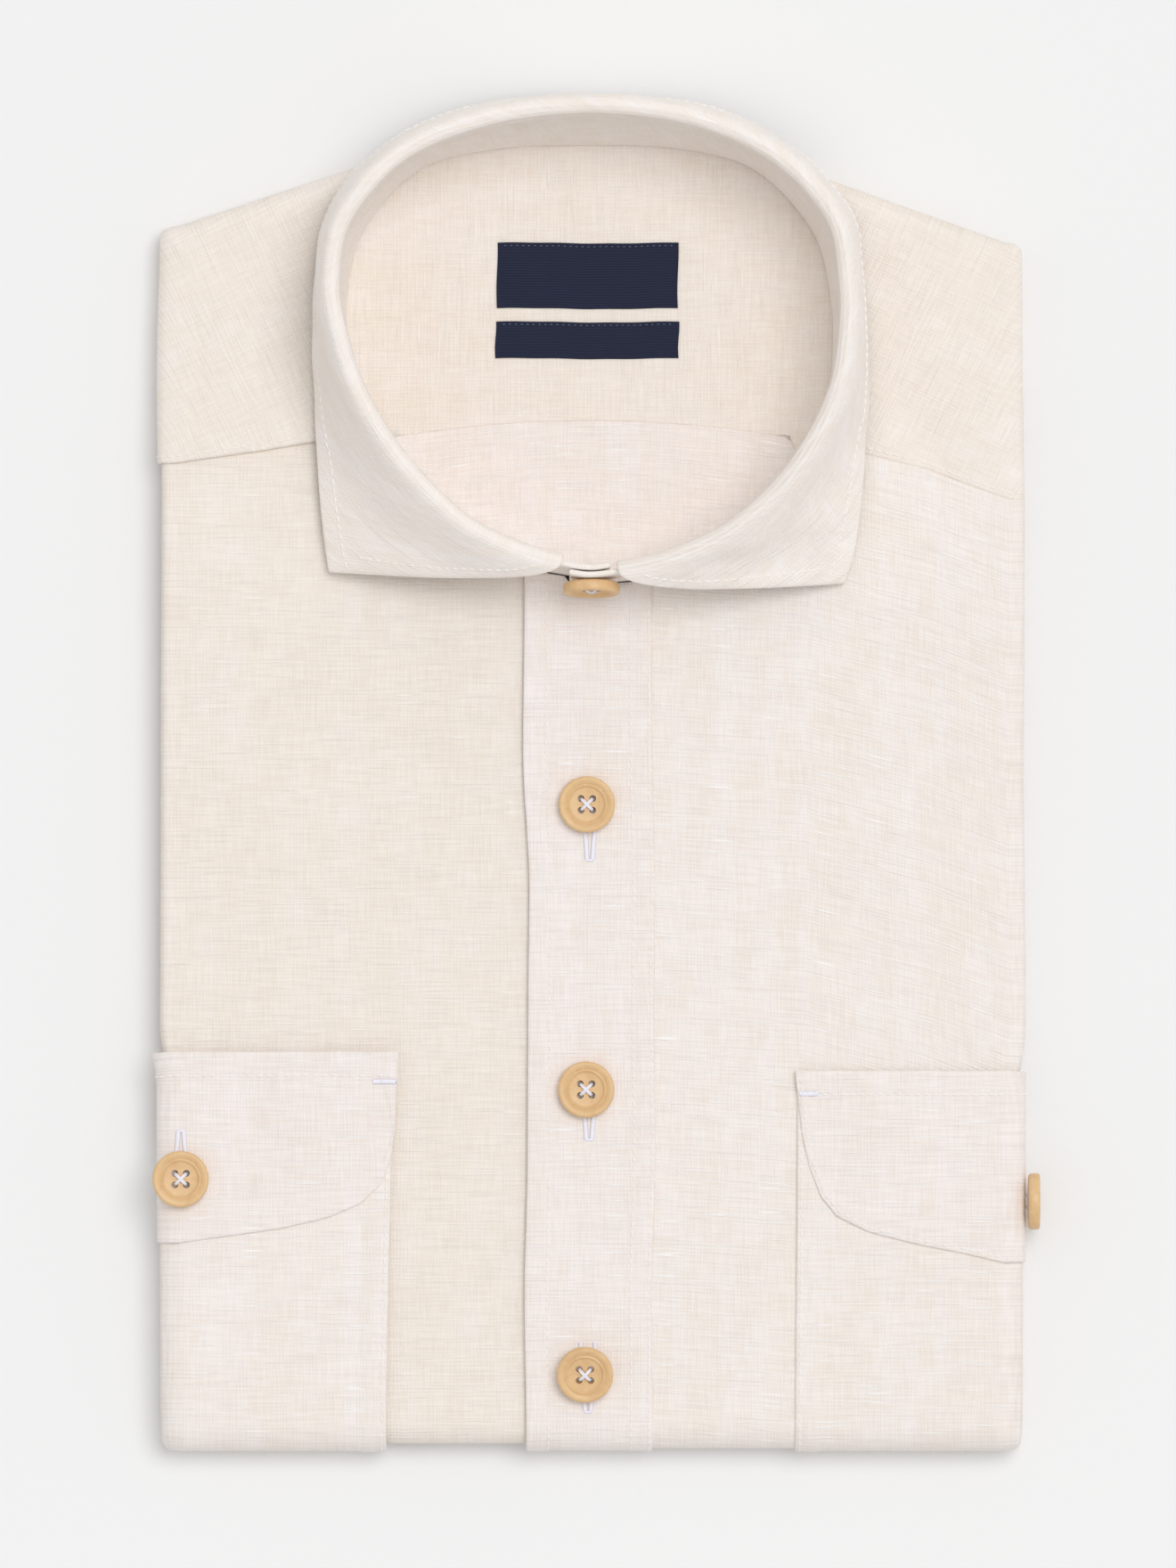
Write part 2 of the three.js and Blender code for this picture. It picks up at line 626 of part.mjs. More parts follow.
function insideNeck(part) {
  const seamAt = (x) => mix(LINING_SEAM.middle, LINING_SEAM.side, (x / LINING_SEAM.at) ** 2);
  const edge = part === "yoke_lining" ? GAP / 2 : -GAP / 2;
  const far = part === "yoke_lining" ? PAST_NECK.back : PAST_NECK.front;
  const line = steps(-PAST_NECK.side, PAST_NECK.side, 24);
  const shape = new THREE.Shape(line.map((x) => new THREE.Vector2(x, seamAt(x) + edge)));
  shape.lineTo(PAST_NECK.side, far);
  shape.lineTo(-PAST_NECK.side, far);
  const slab = new THREE.ExtrudeGeometry(shape, { depth: PANEL, bevelEnabled: false });
  slab.translate(0, 0, NECK_FLOOR + GAP);
  const hole = neckHole(NECK_CLEARANCE - GAP, 0);
  return geometryFrom(solidOf(slab).intersect(solidOf(hole)));
}

addPiece("yoke_lining", insideNeck("yoke_lining"), LINEN_INSIDE);
addPiece("back_inside", insideNeck("back_inside"), LINEN_INSIDE);

for (const { name, left, right, low, high } of LABELS) {
  const label = new THREE.BoxGeometry(right - left, high - low, LABEL_CLOTH);
  const seat = NECK_FLOOR + GAP + PANEL + GAP + LABEL_CLOTH / 2;
  const mesh = addPiece(name, label, NAVY);
  mesh.position.set((left + right) / 2, (low + high) / 2, seat);
}

// Collar stand: a leaning strip round the neck, with its left end lapped over its right end

function collarStand() {
  const place = (station, v) => {
    const foot = onCollar(seamCurve, station);
    const top = onCollar(crestCurve, station);
    top.z -= STAND_REVEAL;
    return foot.lerp(top, v);
  };
  const stations = steps(0, COLLAR.length - 1, 2 * (COLLAR.length - 1));
  return wallOn(place, stations, [0, 0.5, 1], [-STAND_CLOTH / 2, STAND_CLOTH / 2], -1);
}

addPiece("collar_stand", collarStand(), LINEN_DOUBLED);

// Turned-down collar: it starts inside the stand, rolls over its top and hangs outside

function collarFall() {
  const arcSteps = 3;
  const hangSteps = 8;
  const place = (station, v) => {
    const crest = onCollar(crestCurve, station);
    const out = outwardAt(crestCurve, station);
    const up = new THREE.Vector3(0, 0, 1);
    const middle = crest.clone().addScaledVector(up, -ROLL_DROP);
    if (v < 1) {
      const foot = onCollar(seamCurve, station).sub(crest);
      const lean = foot.divideScalar(-foot.z);
      return middle.addScaledVector(out, -ROLL).addScaledVector(lean, INNER_LIMB * (1 - v));
    }
    if (v < 1 + arcSteps) {
      const angle = (Math.PI / 2) * ((v - 1) / arcSteps);
      return middle.addScaledVector(out, -ROLL * Math.cos(angle)).addScaledVector(up, ROLL * Math.sin(angle));
    }
    const t = (v - 1 - arcSteps) / hangSteps;
    const start = middle.clone().addScaledVector(up, ROLL);
    const edge = onCollar(edgeCurve, station);
    const shoulder = start.clone().addScaledVector(out, LEAF_SHOULDER);
    const knee = start.clone().addScaledVector(out, LEAF_KNEE.out);
    const lower = edge.clone().lerp(knee, LEAF_KNEE.share);
    return new THREE.CubicBezierCurve3(start, shoulder, lower, edge).getPoint(t);
  };
  const stations = steps(LEAF_FROM, LEAF_TO, 2 * (LEAF_TO - LEAF_FROM));
  const rows = [0, 1, 2, 3, 4, 4.7, 5.8, 7.2, 9, 12];
  return wallOn(place, stations, rows, [-COLLAR_CLOTH / 2, COLLAR_CLOTH / 2], 1);
}

addPiece("collar_fall", collarFall(), LINEN_DOUBLED);

// Buttons: turned discs with four holes

function buttonGeometry() {
  const { radius, thickness, dish, floor, hole, holeSpacing } = BUTTON;
  const profile = [
    [0, 0], [radius - 1.8, 0], [radius - 0.4, 0.7], [radius, 1.7], [radius - 0.6, 2.8],
    [radius - 1.5, thickness], [dish + 0.4, thickness - 0.3], [dish - 0.5, floor], [0, floor],
  ].map(([r, z]) => new THREE.Vector2(r, z));
  const disc = new THREE.LatheGeometry(profile, 20).rotateX(Math.PI / 2);
  const holes = [-1, 1].flatMap((sx) =>
    [-1, 1].map((sy) => {
      const drill = new THREE.CylinderGeometry(hole, hole, 4 * thickness, 6).rotateX(Math.PI / 2);
      return drill.translate(sx * holeSpacing, sy * holeSpacing, 0);
    }),
  );
  return cut(disc, ...holes);
}

function addButton(name, position, facing) {
  const mesh = addPiece(name, buttonGeometry(), NUT);
  mesh.position.copy(position);
  mesh.quaternion.setFromUnitVectors(new THREE.Vector3(0, 0, 1), facing.clone().normalize());
}

const topAt = (x, y) => stackPoint(x / flatHalf(x, y), -y).z;

for (const { name, x, y, tilt } of FRONT_BUTTONS) {
  const lean = THREE.MathUtils.degToRad(tilt);
  const lift = GAP + BUTTON.radius * Math.sin(lean);
  const seat = new THREE.Vector3(x, y, topAt(x, y) + ON_FRONT[1] + lift);
  addButton(name, seat, new THREE.Vector3(0, -Math.sin(lean), Math.cos(lean)));
}

const { x: flatX, y: flatY } = POCKET_BUTTONS.right;
const flapSeat = new THREE.Vector3(flatX, flatY, topAt(flatX, flatY) + ON_POCKET[1] + GAP);
addButton("button_pocket_right", flapSeat, new THREE.Vector3(0, 0, 1));

const { y: foldY } = POCKET_BUTTONS.left;
const foldX = flatHalf(1, foldY) + sideReach(foldY) + ON_POCKET[1] + GAP;
const foldSeat = new THREE.Vector3(foldX, foldY, MIDDLE_LEVEL + TURN / 2);
addButton("button_pocket_left", foldSeat, new THREE.Vector3(1, 0, 0));

const standFoot = onCollar(seamCurve, COLLAR.length - 2);
const standTop = onCollar(crestCurve, COLLAR.length - 2);
const share = (COLLAR_BUTTON.height - standFoot.z) / (standTop.z - standFoot.z);
const collarLean = THREE.MathUtils.degToRad(COLLAR_BUTTON.tilt);
const collarSeat = standFoot.lerp(standTop, share);
collarSeat.x = COLLAR_BUTTON.x;
collarSeat.y -= STAND_CLOTH / 2 + COLLAR_BUTTON.off;
addButton("button_collar", collarSeat, new THREE.Vector3(0, -Math.cos(collarLean), Math.sin(collarLean)));

export default shirt;
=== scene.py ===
import math

import bmesh
import bpy
import numpy as np
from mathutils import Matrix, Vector
from mathutils.bvhtree import BVHTree


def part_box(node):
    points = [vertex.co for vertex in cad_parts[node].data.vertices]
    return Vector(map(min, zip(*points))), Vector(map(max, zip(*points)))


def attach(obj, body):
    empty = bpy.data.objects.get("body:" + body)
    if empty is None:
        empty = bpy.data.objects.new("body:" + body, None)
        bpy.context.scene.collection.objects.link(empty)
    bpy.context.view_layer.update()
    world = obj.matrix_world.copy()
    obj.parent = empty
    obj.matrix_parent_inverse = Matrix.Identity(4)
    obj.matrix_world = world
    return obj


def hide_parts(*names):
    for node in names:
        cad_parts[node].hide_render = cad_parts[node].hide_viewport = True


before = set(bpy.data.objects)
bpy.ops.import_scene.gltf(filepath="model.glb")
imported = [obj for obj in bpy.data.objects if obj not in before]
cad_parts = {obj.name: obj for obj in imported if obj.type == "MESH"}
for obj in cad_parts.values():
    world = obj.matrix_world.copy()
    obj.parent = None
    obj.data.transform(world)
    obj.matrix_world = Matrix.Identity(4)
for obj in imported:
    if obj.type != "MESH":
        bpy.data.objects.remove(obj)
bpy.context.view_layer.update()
MM = 0.001

# Table, light and camera
# A plain pale table top. One broad soft light stands at the upper right, and the room fills the rest.
# The camera looks straight down from far off, so that nothing leans outwards in the picture.

VIEW_LENGTH = 422.4
VIEW_MIDDLE = (-0.48, -2.4)
CAMERA_HEIGHT = 8000.0
SHIRT_LEVEL = 17.0
SENSOR = 36.0


def linear(colour):
    """An sRGB hex colour as linear red, green, blue and alpha"""
    parts = [int(colour[i:i + 2], 16) / 255 for i in (1, 3, 5)]
    return [c / 12.92 if c <= 0.04045 else ((c + 0.055) / 1.055) ** 2.4 for c in parts] + [1.0]


def add_node(tree, kind, inputs=(), **settings):
    """Adds a node with its settings, and its inputs as values or as links from other nodes"""
    node = tree.nodes.new(kind)
    for setting, value in settings.items():
        setattr(node, setting, value)
    for name, value in dict(inputs).items():
        if isinstance(value, bpy.types.NodeSocket):
            tree.links.new(value, node.inputs[name])
        else:
            node.inputs[name].default_value = value
    return node.outputs


def new_finish(name, **values):
    """A material with its principled shader, whose plain values are set on the shader's own sockets"""
    finish = bpy.data.materials.new(name)
    finish.use_nodes = True
    tree = finish.node_tree
    shader = tree.nodes["Principled BSDF"]
    for socket, value in values.items():
        shader.inputs[socket.replace("_", " ")].default_value = value
    return finish, tree, shader


def tint(tree, shader, share, low, high):
    """Gives a finish its colour, which lies between two hex colours by another node's share"""
    tones = {"Fac": share, "Color1": linear(low), "Color2": linear(high)}
    tree.links.new(add_node(tree, "ShaderNodeMixRGB", tones)["Color"], shader.inputs["Base Color"])


def table_top():
    bpy.ops.mesh.primitive_plane_add(size=12)
    top = bpy.context.object
    top.name = "table_top"
    finish, tree, shader = new_finish("matt pale laminate", Roughness=0.8)
    place = add_node(tree, "ShaderNodeTexCoord")["Object"]
    cloud = add_node(tree, "ShaderNodeTexNoise", {"Vector": place, "Scale": 2.0})["Fac"]
    tint(tree, shader, cloud, "#f0f0f0", "#f3f3f3")
    top.data.materials.append(finish)


bpy.ops.object.select_all(action="DESELECT")
table_top()

world = bpy.data.worlds.new("soft studio")
bpy.context.scene.world = world
world.use_nodes = True
world.node_tree.nodes["Background"].inputs["Color"].default_value = (1, 1, 1, 1)
world.node_tree.nodes["Background"].inputs["Strength"].default_value = 0.62

lamp = bpy.data.objects.new("window_light", bpy.data.lights.new("window_light", "SUN"))
lamp.data.energy = 1.27
lamp.data.angle = math.radians(34)
towards_lamp = Vector((0.24, 0.24, 1.0))
lamp.rotation_euler = towards_lamp.to_track_quat("Z", "Y").to_euler()
bpy.context.scene.collection.objects.link(lamp)

camera = bpy.data.objects.new("camera", bpy.data.cameras.new("camera"))
camera.location = (VIEW_MIDDLE[0] * MM, VIEW_MIDDLE[1] * MM, CAMERA_HEIGHT * MM)
camera.data.sensor_width = SENSOR
camera.data.lens = SENSOR * (CAMERA_HEIGHT - SHIRT_LEVEL) / VIEW_LENGTH
bpy.context.scene.collection.objects.link(camera)
bpy.context.scene.camera = camera
bpy.context.scene.view_settings.view_transform = "Standard"

# Hidden layers
# The back, the sleeves and the turned-in sides, folded flat into one bundle about 12 mm high.
# Every panel on top of it follows its surface. Only its layered edges show, in the side folds.

GAP, PANEL, DOUBLED, FLAP_CLOTH = 0.3, 1.0, 1.2, 1.4
ON_STACK = (GAP, GAP + PANEL)
ON_FRONT = (ON_STACK[1] + GAP, ON_STACK[1] + GAP + DOUBLED)
ON_POCKET = (ON_FRONT[1] + GAP, ON_FRONT[1] + GAP + FLAP_CLOTH)
TOP_LEVEL, TAIL_LEVEL, BOTTOM_FOLD = 15.0, ON_FRONT[1], -183.0
TURN = (TOP_LEVEL - TAIL_LEVEL) / 2
TURN_AXIS = BOTTOM_FOLD + TURN + ON_FRONT[1]
TAIL_START = -TURN_AXIS + math.pi * TURN
MIDDLE_LEVEL = TOP_LEVEL - TURN
TAIL_HEM, SETTLED = 88.0, 93.0
PUFF, PUFF_START, PUFF_END, PUFF_FADE = 1.2, 60, 130, 90
CREASE_FADE = 14
SHOULDER_TOP, SHOULDER_UNDER = 10.3, ON_STACK[1]
SHOULDER_TURN = (SHOULDER_TOP - SHOULDER_UNDER) / 2
SHOULDER_MIDDLE = SHOULDER_UNDER + SHOULDER_TURN
SIDE_ROUND, GROOVE = TURN / 2, 0.35
# The folds are pressed: 1 would make their upper edges round, and less makes them squarer
PRESSED_FOLD, PRESSED_CORNER = 0.6, 0.22
# What changes towards the shoulders, where the bundle is thinner: where it starts and over what length
THINNING = {"fold": (70, 45), "middle": (60, 75), "top": (55, 80)}
SIDE_LINE = {
    "y": [-183, -84, -68, 0, 74, 112, 150],
    "right": [113.2, 113.6, 115.7, 115.5, 115.3, 116.1, 115.2],
    "left": [114.2, 114.3, 116.2, 115.7, 115.9, 116.0, 115.9],
}
SHOULDER_LINE = {
    "x": [-117, -58.6, -28, 0, 28, 58.6, 117],
    "y": [146, 165.4, 172, 174, 171.5, 162.7, 141.8],
}
# Soft creases in the whole bundle, as they lie: the middle's x and y, the direction in degrees from
# +X, the length, the width and the height
CREASES = [
    (-82, 108, 62, 44, 8, -1.15),
    (-101, 124, 40, 26, 7, 0.55),
    (-74, 139, 20, 40, 8, 0.4),
    (81, 131, -72, 40, 5.5, -0.9),
    (86, 99, -64, 40, 7, -1.1),
    (104, 92, -52, 30, 7, 0.5),
    (-36, 18, 24, 62, 10, 0.45),
    (-44, 2, 30, 56, 9, -0.4),
    (-96, 30, 74, 70, 13, 0.4),
    (-60, -44, 8, 74, 14, -0.4),
    (42, 26, -20, 54, 11, 0.4),
    (88, 12, -80, 84, 14, -0.45),
    (50, -58, 12, 58, 12, 0.35),
    (-92, -96, 84, 34, 6, -0.5),
    (-78, -99, 96, 30, 6, 0.45),
    (84, -100, 86, 36, 7, 0.4),
    (98, -104, 98, 28, 6, -0.45),
    (-48, -136, -6, 60, 12, 0.4),
    (64, -140, 4, 70, 13, -0.35),
    (-109, 137, 34, 12, 1.6, -0.3),
]


def smooth(share):
    held = np.clip(share, 0, 1)
    return held * held * (3 - 2 * held)


def mix(low, high, share):
    return low + (high - low) * share


def unit(vectors):
    """Vectors with their length made 1"""
    return vectors / np.maximum(np.linalg.norm(vectors, axis=-1, keepdims=True), 1e-9)


def eased(table, key, at, column):
    """A value from a table's column, eased from row to row"""
    keys, values = np.array(table[key], float), np.array(table[column], float)
    row = np.clip(np.searchsorted(keys, at), 1, len(keys) - 1)
    return mix(values[row - 1], values[row], smooth((at - keys[row - 1]) / (keys[row] - keys[row - 1])))


def straight(table, key, at, column):
    """A value from a table's column, along straight lines"""
    return np.interp(at, table[key], table[column])


def thinned(part, y):
    start, long = THINNING[part]
    return smooth((y - start) / long)


def side_reach(y):
    return mix(SIDE_ROUND, SHOULDER_TURN, thinned("fold", y))


def flat_half(side, y):
    half = np.where(side < 0, eased(SIDE_LINE, "y", y, "right"), eased(SIDE_LINE, "y", y, "left"))
    return half - side_reach(y)


def middle_level(y):
    return mix(MIDDLE_LEVEL, SHOULDER_MIDDLE, thinned("middle", y))


def under_level(y):
    return mix(TAIL_LEVEL, SHOULDER_UNDER, np.clip((y - TAIL_HEM) / (SETTLED - TAIL_HEM), 0, 1))


def shoulder_axis(x):
    return straight(SHOULDER_LINE, "x", x, "y") - SHOULDER_UNDER - SHOULDER_TURN


def creased(x, y):
    """How far the soft creases lift the bundle's top at a place"""
    lift = np.zeros(np.broadcast(x, y).shape)
    for middle_x, middle_y, degrees, long, wide, high in CREASES:
        turn = math.radians(degrees)
        along = (x - middle_x) * math.cos(turn) + (y - middle_y) * math.sin(turn)
        off = (y - middle_y) * math.cos(turn) - (x - middle_x) * math.sin(turn)
        lift = lift + high * np.exp(-((along / (long / 2)) ** 2) - (off / wide) ** 2)
    return lift * smooth((y - TURN_AXIS) / CREASE_FADE)


def top_level(side, flat, y):
    x = side * flat * flat_half(side, y)
    rise = PUFF * smooth((y - TURN_AXIS) / PUFF_START) * smooth((PUFF_END - y) / PUFF_FADE)
    settle = smooth((shoulder_axis(x) - y) / CREASE_FADE)
    level = mix(TOP_LEVEL, SHOULDER_TOP, thinned("top", y))
    return level + rise * np.cos(np.pi / 2 * flat) + creased(x, y) * settle


def side_fold(bend, half, y):
    """The step out and the height of a side fold: two bundles low down, one single turn at the shoulder"""
    turned = np.pi * (0.5 - bend)
    reach = side_reach(y)
    bundle = reach * np.clip(np.cos(turned), 0, 1) ** np.where(bend < 0.5, PRESSED_FOLD, 1.0)
    bundle = np.where(bend > 0.5, np.maximum(bundle, reach * GROOVE), bundle)
    lone = np.pi / 2 * (1 - np.clip(bend, 0, 1))
    share = thinned("fold", y)
    out = mix(bundle, reach * np.clip(np.cos(lone), 0, 1) ** PRESSED_FOLD, share)
    height = mix(half / 2 * (1 + np.sin(turned)), half * np.sin(lone), share)
    return out, height


def stack(across, along):
    """A point of the bundle's surface in mm. across is -1 or 1 where a side fold starts and -2 or 2 at
    mid-height. along is minus y on top, and runs on round the bottom fold, or back over the shoulder."""
    across, along = np.broadcast_arrays(np.asarray(across, float), np.asarray(along, float))
    side = np.where(across < 0, -1.0, 1.0)
    flat = np.minimum(1, np.abs(across))
    bend = np.abs(across) - flat
    shoulder = shoulder_axis(side * flat * flat_half(side, 150.0))
    under_start = -shoulder - np.pi * SHOULDER_TURN
    where = [along > TAIL_START, along > -TURN_AXIS, along < under_start, along < -shoulder]
    y = np.select(
        where,
        [TURN_AXIS + along - TAIL_START, TURN_AXIS, shoulder + along - under_start, shoulder],
        -along,
    )
    turn = np.select(
        where, [np.pi, (along + TURN_AXIS) / TURN, np.pi, (-along - shoulder) / SHOULDER_TURN], 0.0
    )
    half = np.select(
        where,
        [middle_level(y) - under_level(y), TURN, middle_level(y) - SHOULDER_UNDER, SHOULDER_TURN],
        top_level(side, flat, y) - middle_level(y),
    )
    fold_out, fold_height = side_fold(bend, half, y)
    out = np.where(bend > 0, fold_out, 0)
    height = np.where(bend > 0, fold_height, half)
    corner = half * np.clip(height / half, 0, 1) ** np.where(along > 0, PRESSED_CORNER, 1.0)
    towards = np.where(along > 0, -1.0, 1.0)
    return np.stack(
        [
            side * (flat * flat_half(side, y) + out),
            y + towards * np.sin(turn) * corner,
            middle_level(y) + np.cos(turn) * height,
        ],
        axis=-1,
    )


# What is left of the places from stops() without the close ones at its end, or at its start
OPEN_END, OPEN_START = slice(None, -5), slice(6, None)


def stops(start, end, spacing, size=1.0):
    """Places from start to end, closer together at both ends. size is the length in mm of one step of 1"""
    near = np.array([0, 0.12, 0.3, 0.6, 1.0, 1.6]) / size
    towards = 1 if end > start else -1
    low, high = start + towards * near[-1], end - towards * near[-1]
    count = max(2, int(abs(high - low) * size / spacing))
    middle = np.linspace(low, high, count + 1)
    return np.concatenate([start + towards * near[:-1], middle, (end - towards * near[:-1])[::-1]])


def make_piece(name, points, faces, uvs=None):
    """A mesh object from points in mm, and its cloth's own coordinates in mm where it has them"""
    mesh = bpy.data.meshes.new(name)
    faces = faces.tolist() if isinstance(faces, np.ndarray) else faces
    mesh.from_pydata((np.asarray(points, float) * MM).tolist(), [], faces)
    if uvs is not None:
        layer = mesh.uv_layers.new(name="cloth")
        corner = np.zeros(len(mesh.loops), int)
        mesh.loops.foreach_get("vertex_index", corner)
        layer.data.foreach_set("uv", np.asarray(uvs, float)[corner].ravel())
    piece = bpy.data.objects.new(name, mesh)
    bpy.context.scene.collection.objects.link(piece)
    tidy = bmesh.new()
    tidy.from_mesh(mesh)
    bmesh.ops.remove_doubles(tidy, verts=tidy.verts, dist=2e-6)
    bmesh.ops.recalc_face_normals(tidy, faces=tidy.faces)
    tidy.to_mesh(mesh)
    tidy.free()
    mesh.shade_smooth()
    return piece


def lengths(points, axis):
    """How far each point of a grid lies along its row or column"""
    step = np.linalg.norm(np.diff(points, axis=axis), axis=-1)
    start = np.zeros_like(np.take(step, [0], axis=axis))
    return np.concatenate([start, np.cumsum(step, axis=axis)], axis=axis)


def facing_out(place, u, v, facing):
    """A surface's points and outward normals"""
    step = 0.004
    ahead = place(u + step, v) - place(u - step, v)
    down = place(u, v + step) - place(u, v - step)
    return place(u, v), unit(np.cross(ahead, down)) * facing


# The height up to which cloth lies on the surface below, and the width over which a relief fades in
# from an edge
UNDERSIDE, RELIEF_EDGE = 3.4, 0.8


def cloth_shell(name, place, us, vs, layer, facing, relief=None, grain=None):
    """A thin closed shell over a surface, with round edges. layer is its inner and outer height, or a
    function of the points that gives them. relief(edges, points) lifts its outer face, where edges holds
    the distances to its four sides, and grain(points, edges) gives the cloth's own coordinates, with the
    weft along the first."""
    u, v = np.meshgrid(us, vs)
    points, normals = facing_out(place, u, v, facing)
    run, down = lengths(points, 1), lengths(points, 0)
    edges = {"start": run, "end": run[:, -1:] - run, "top": down, "hem": down[-1:] - down}
    nearest = np.minimum.reduce(list(edges.values()))
    inner, outer = layer(points) if callable(layer) else layer
    half = (outer - inner) / 2
    curl = half * (1 - np.sqrt(1 - np.clip(1 - nearest / half, 0, 1) ** 2))
    lift = relief(edges, points) * smooth(nearest / RELIEF_EDGE) if relief else 0
    upper = points + normals * (outer - curl + lift)[..., None]
    lower = points + normals * (inner + curl)[..., None]
    rows, columns = u.shape
    index = np.arange(rows * columns).reshape(rows, columns)
    quads = np.stack([index[:-1, :-1], index[:-1, 1:], index[1:, 1:], index[1:, :-1]], -1).reshape(-1, 4)
    faces = np.concatenate([quads, quads[:, ::-1] + rows * columns])
    both = np.concatenate([upper.reshape(-1, 3), lower.reshape(-1, 3)])
    own = grain(points, edges) if grain else np.stack([points[..., 0], down], -1)
    own = np.tile(np.asarray(own, float).reshape(-1, 2), (2, 1))
    return make_piece(name, both, faces, own)


def pressed(layer, on_top, at_turn, under):
    """A layer that lies closer where the cloth is pressed, on top and round the bottom fold"""
    inner, outer = layer

    def heights(points):
        above = smooth((points[..., 2] - UNDERSIDE) / 5)
        low = smooth((TURN_AXIS + 4 - points[..., 1]) / 6)
        return inner - under * above, outer - above * mix(on_top, at_turn, low)

    return heights


def on_underside(points):
    """1 on top and 0 where the cloth lies on the surface below, which keeps it flat"""
    return smooth((points[..., 2] - UNDERSIDE) / 3)


# The yarn's uneven marks: their size in mm along the weft and along the warp, the detail of their noise,
# where it starts, and the range of it that shows
YARN_MARKS = {
    "streaks": (7, 190, 2.0, 0.0, 0.42, 0.62),
    "patches": (26, 34, 2.0, 7.0, 0.38, 0.66),
    "mottle": (5.5, 8, 2.0, 13.0, 0.38, 0.64),
    "fine weft": (12, 0.55, 1.0, 3.0, 0.36, 0.66),
    "fine warp": (0.5, 9, 1.0, 5.0, 0.34, 0.68),
    "slubs": (14, 0.4, 0.0, 11.0, 0.65, 0.75),
}
# The real weave has about 20 threads a centimetre. It is drawn at 0.9 mm, which still shows
WEAVE, WEAVE_RELIEF = 0.9, 0.18
# The length of one wave of Blender's wave texture at a scale of 1
WAVE = 0.3142


def linen(name, plain, pink, cream, slub):
    """Plain-woven washed linen: matt, with streaks of paler and creamier yarn and short white slubs"""
    finish, tree, shader = new_finish(
        name, Roughness=0.88, Sheen_Weight=0.12, Sheen_Roughness=0.5, IOR=1.45, Specular_IOR_Level=0.25
    )
    own = add_node(tree, "ShaderNodeUVMap", uv_map="cloth")["UV"]
    marks = {}
    for mark, (across, along, detail, shift, low, high) in YARN_MARKS.items():
        spread = {"Vector": own, "Location": (shift, shift * 0.7, 0), "Scale": (1 / across, 1 / along, 1)}
        place = add_node(tree, "ShaderNodeMapping", spread)["Vector"]
        drawn = {"Vector": place, "Scale": 1.0, "Detail": detail}
        noise = add_node(tree, "ShaderNodeTexNoise", drawn)["Fac"]
        shown = {"Value": noise, "From Min": low, "From Max": high}
        marks[mark] = add_node(tree, "ShaderNodeMapRange", shown)["Result"]
    fine = {0: marks["fine weft"], 1: marks["fine warp"]}
    both = add_node(tree, "ShaderNodeMath", fine, operation="ADD")["Value"]
    marks["grain"] = add_node(tree, "ShaderNodeMath", {0: both, 1: 0.5}, operation="MULTIPLY")["Value"]
    colour = linear(plain)
    tones = {
        "streaks": (pink, 1.0), "patches": (cream, 0.4), "mottle": (cream, 0.45),
        "grain": (slub, 0.5), "slubs": (slub, 0.9),
    }
    for mark, (tone, strength) in tones.items():
        shown = {0: marks[mark], 1: strength}
        share = add_node(tree, "ShaderNodeMath", shown, operation="MULTIPLY")["Value"]
        mixed = {"Fac": share, "Color1": colour, "Color2": linear(tone)}
        colour = add_node(tree, "ShaderNodeMixRGB", mixed)["Color"]
    waves = {"Vector": own, "Scale": WAVE / WEAVE, "Distortion": 1.2, "Detail": 1.0, "Detail Scale": 0.5}
    threads = [add_node(tree, "ShaderNodeTexWave", waves, bands_direction=way)["Fac"] for way in "XY"]
    marks["weave"] = add_node(tree, "ShaderNodeMath", enumerate(threads), operation="MULTIPLY")["Value"]
    raised = {0: marks["weave"], 1: marks["grain"]}
    light = add_node(tree, "ShaderNodeMath", raised, operation="ADD")["Value"]
    shading = {"Value": light, "From Min": 0.0, "From Max": 1.5, "To Min": 0.955, "To Max": 1.005}
    shade = add_node(tree, "ShaderNodeMapRange", shading)["Result"]
    channels = dict.fromkeys(("Red", "Green", "Blue"), shade)
    grey = add_node(tree, "ShaderNodeCombineColor", channels)["Color"]
    shaded = {"Fac": 1.0, "Color1": colour, "Color2": grey}
    colour = add_node(tree, "ShaderNodeMixRGB", shaded, blend_type="MULTIPLY")["Color"]
    tree.links.new(colour, shader.inputs["Base Color"])
    height = 0.0
    for mark, share in (("grain", 0.6), ("slubs", 0.5), ("weave", 0.5)):
        added = {0: marks[mark], 1: share, 2: height}
        height = add_node(tree, "ShaderNodeMath", added, operation="MULTIPLY_ADD")["Value"]
    relief = {"Height": height, "Strength": 0.8, "Distance": WEAVE_RELIEF * MM}
    tree.links.new(add_node(tree, "ShaderNodeBump", relief)["Normal"], shader.inputs["Normal"])
    return finish


LINEN_BODY = linen("washed cream linen", "#f3eae2", "#f5edea", "#f0e3d6", "#fefaf7")
LINEN_DOUBLED = linen("washed cream linen, doubled", "#f3e9e3", "#f6edeb", "#f0e3d8", "#fefaf8")
# A darker, warmer copy of the linen. Part of its darker tone is painted shade, as inside the neck and on
# the yoke.
LINEN_SHADED = linen("washed cream linen, painted shade", "#f2e8df", "#f4ebe5", "#eee1d2", "#fdf6ee")
# A paler copy for the stiffened collar. Part of its near-white tone is painted light, which lifts the shade
# on its steep and inner faces.
LINEN_COLLAR_PAINTED_LIGHT = linen("washed cream linen, stiffened, painted light", "#f9f0e7", "#fbf4f0", "#f6eadd", "#fffbf8")


def fit_cloth(
    piece, node, finish
):
    """Gives a cloth piece its finish, hangs it from the root and hides the solid that it stands for"""
    piece.data.materials.append(finish)
    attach(piece, "root")
    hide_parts(node)
    return piece


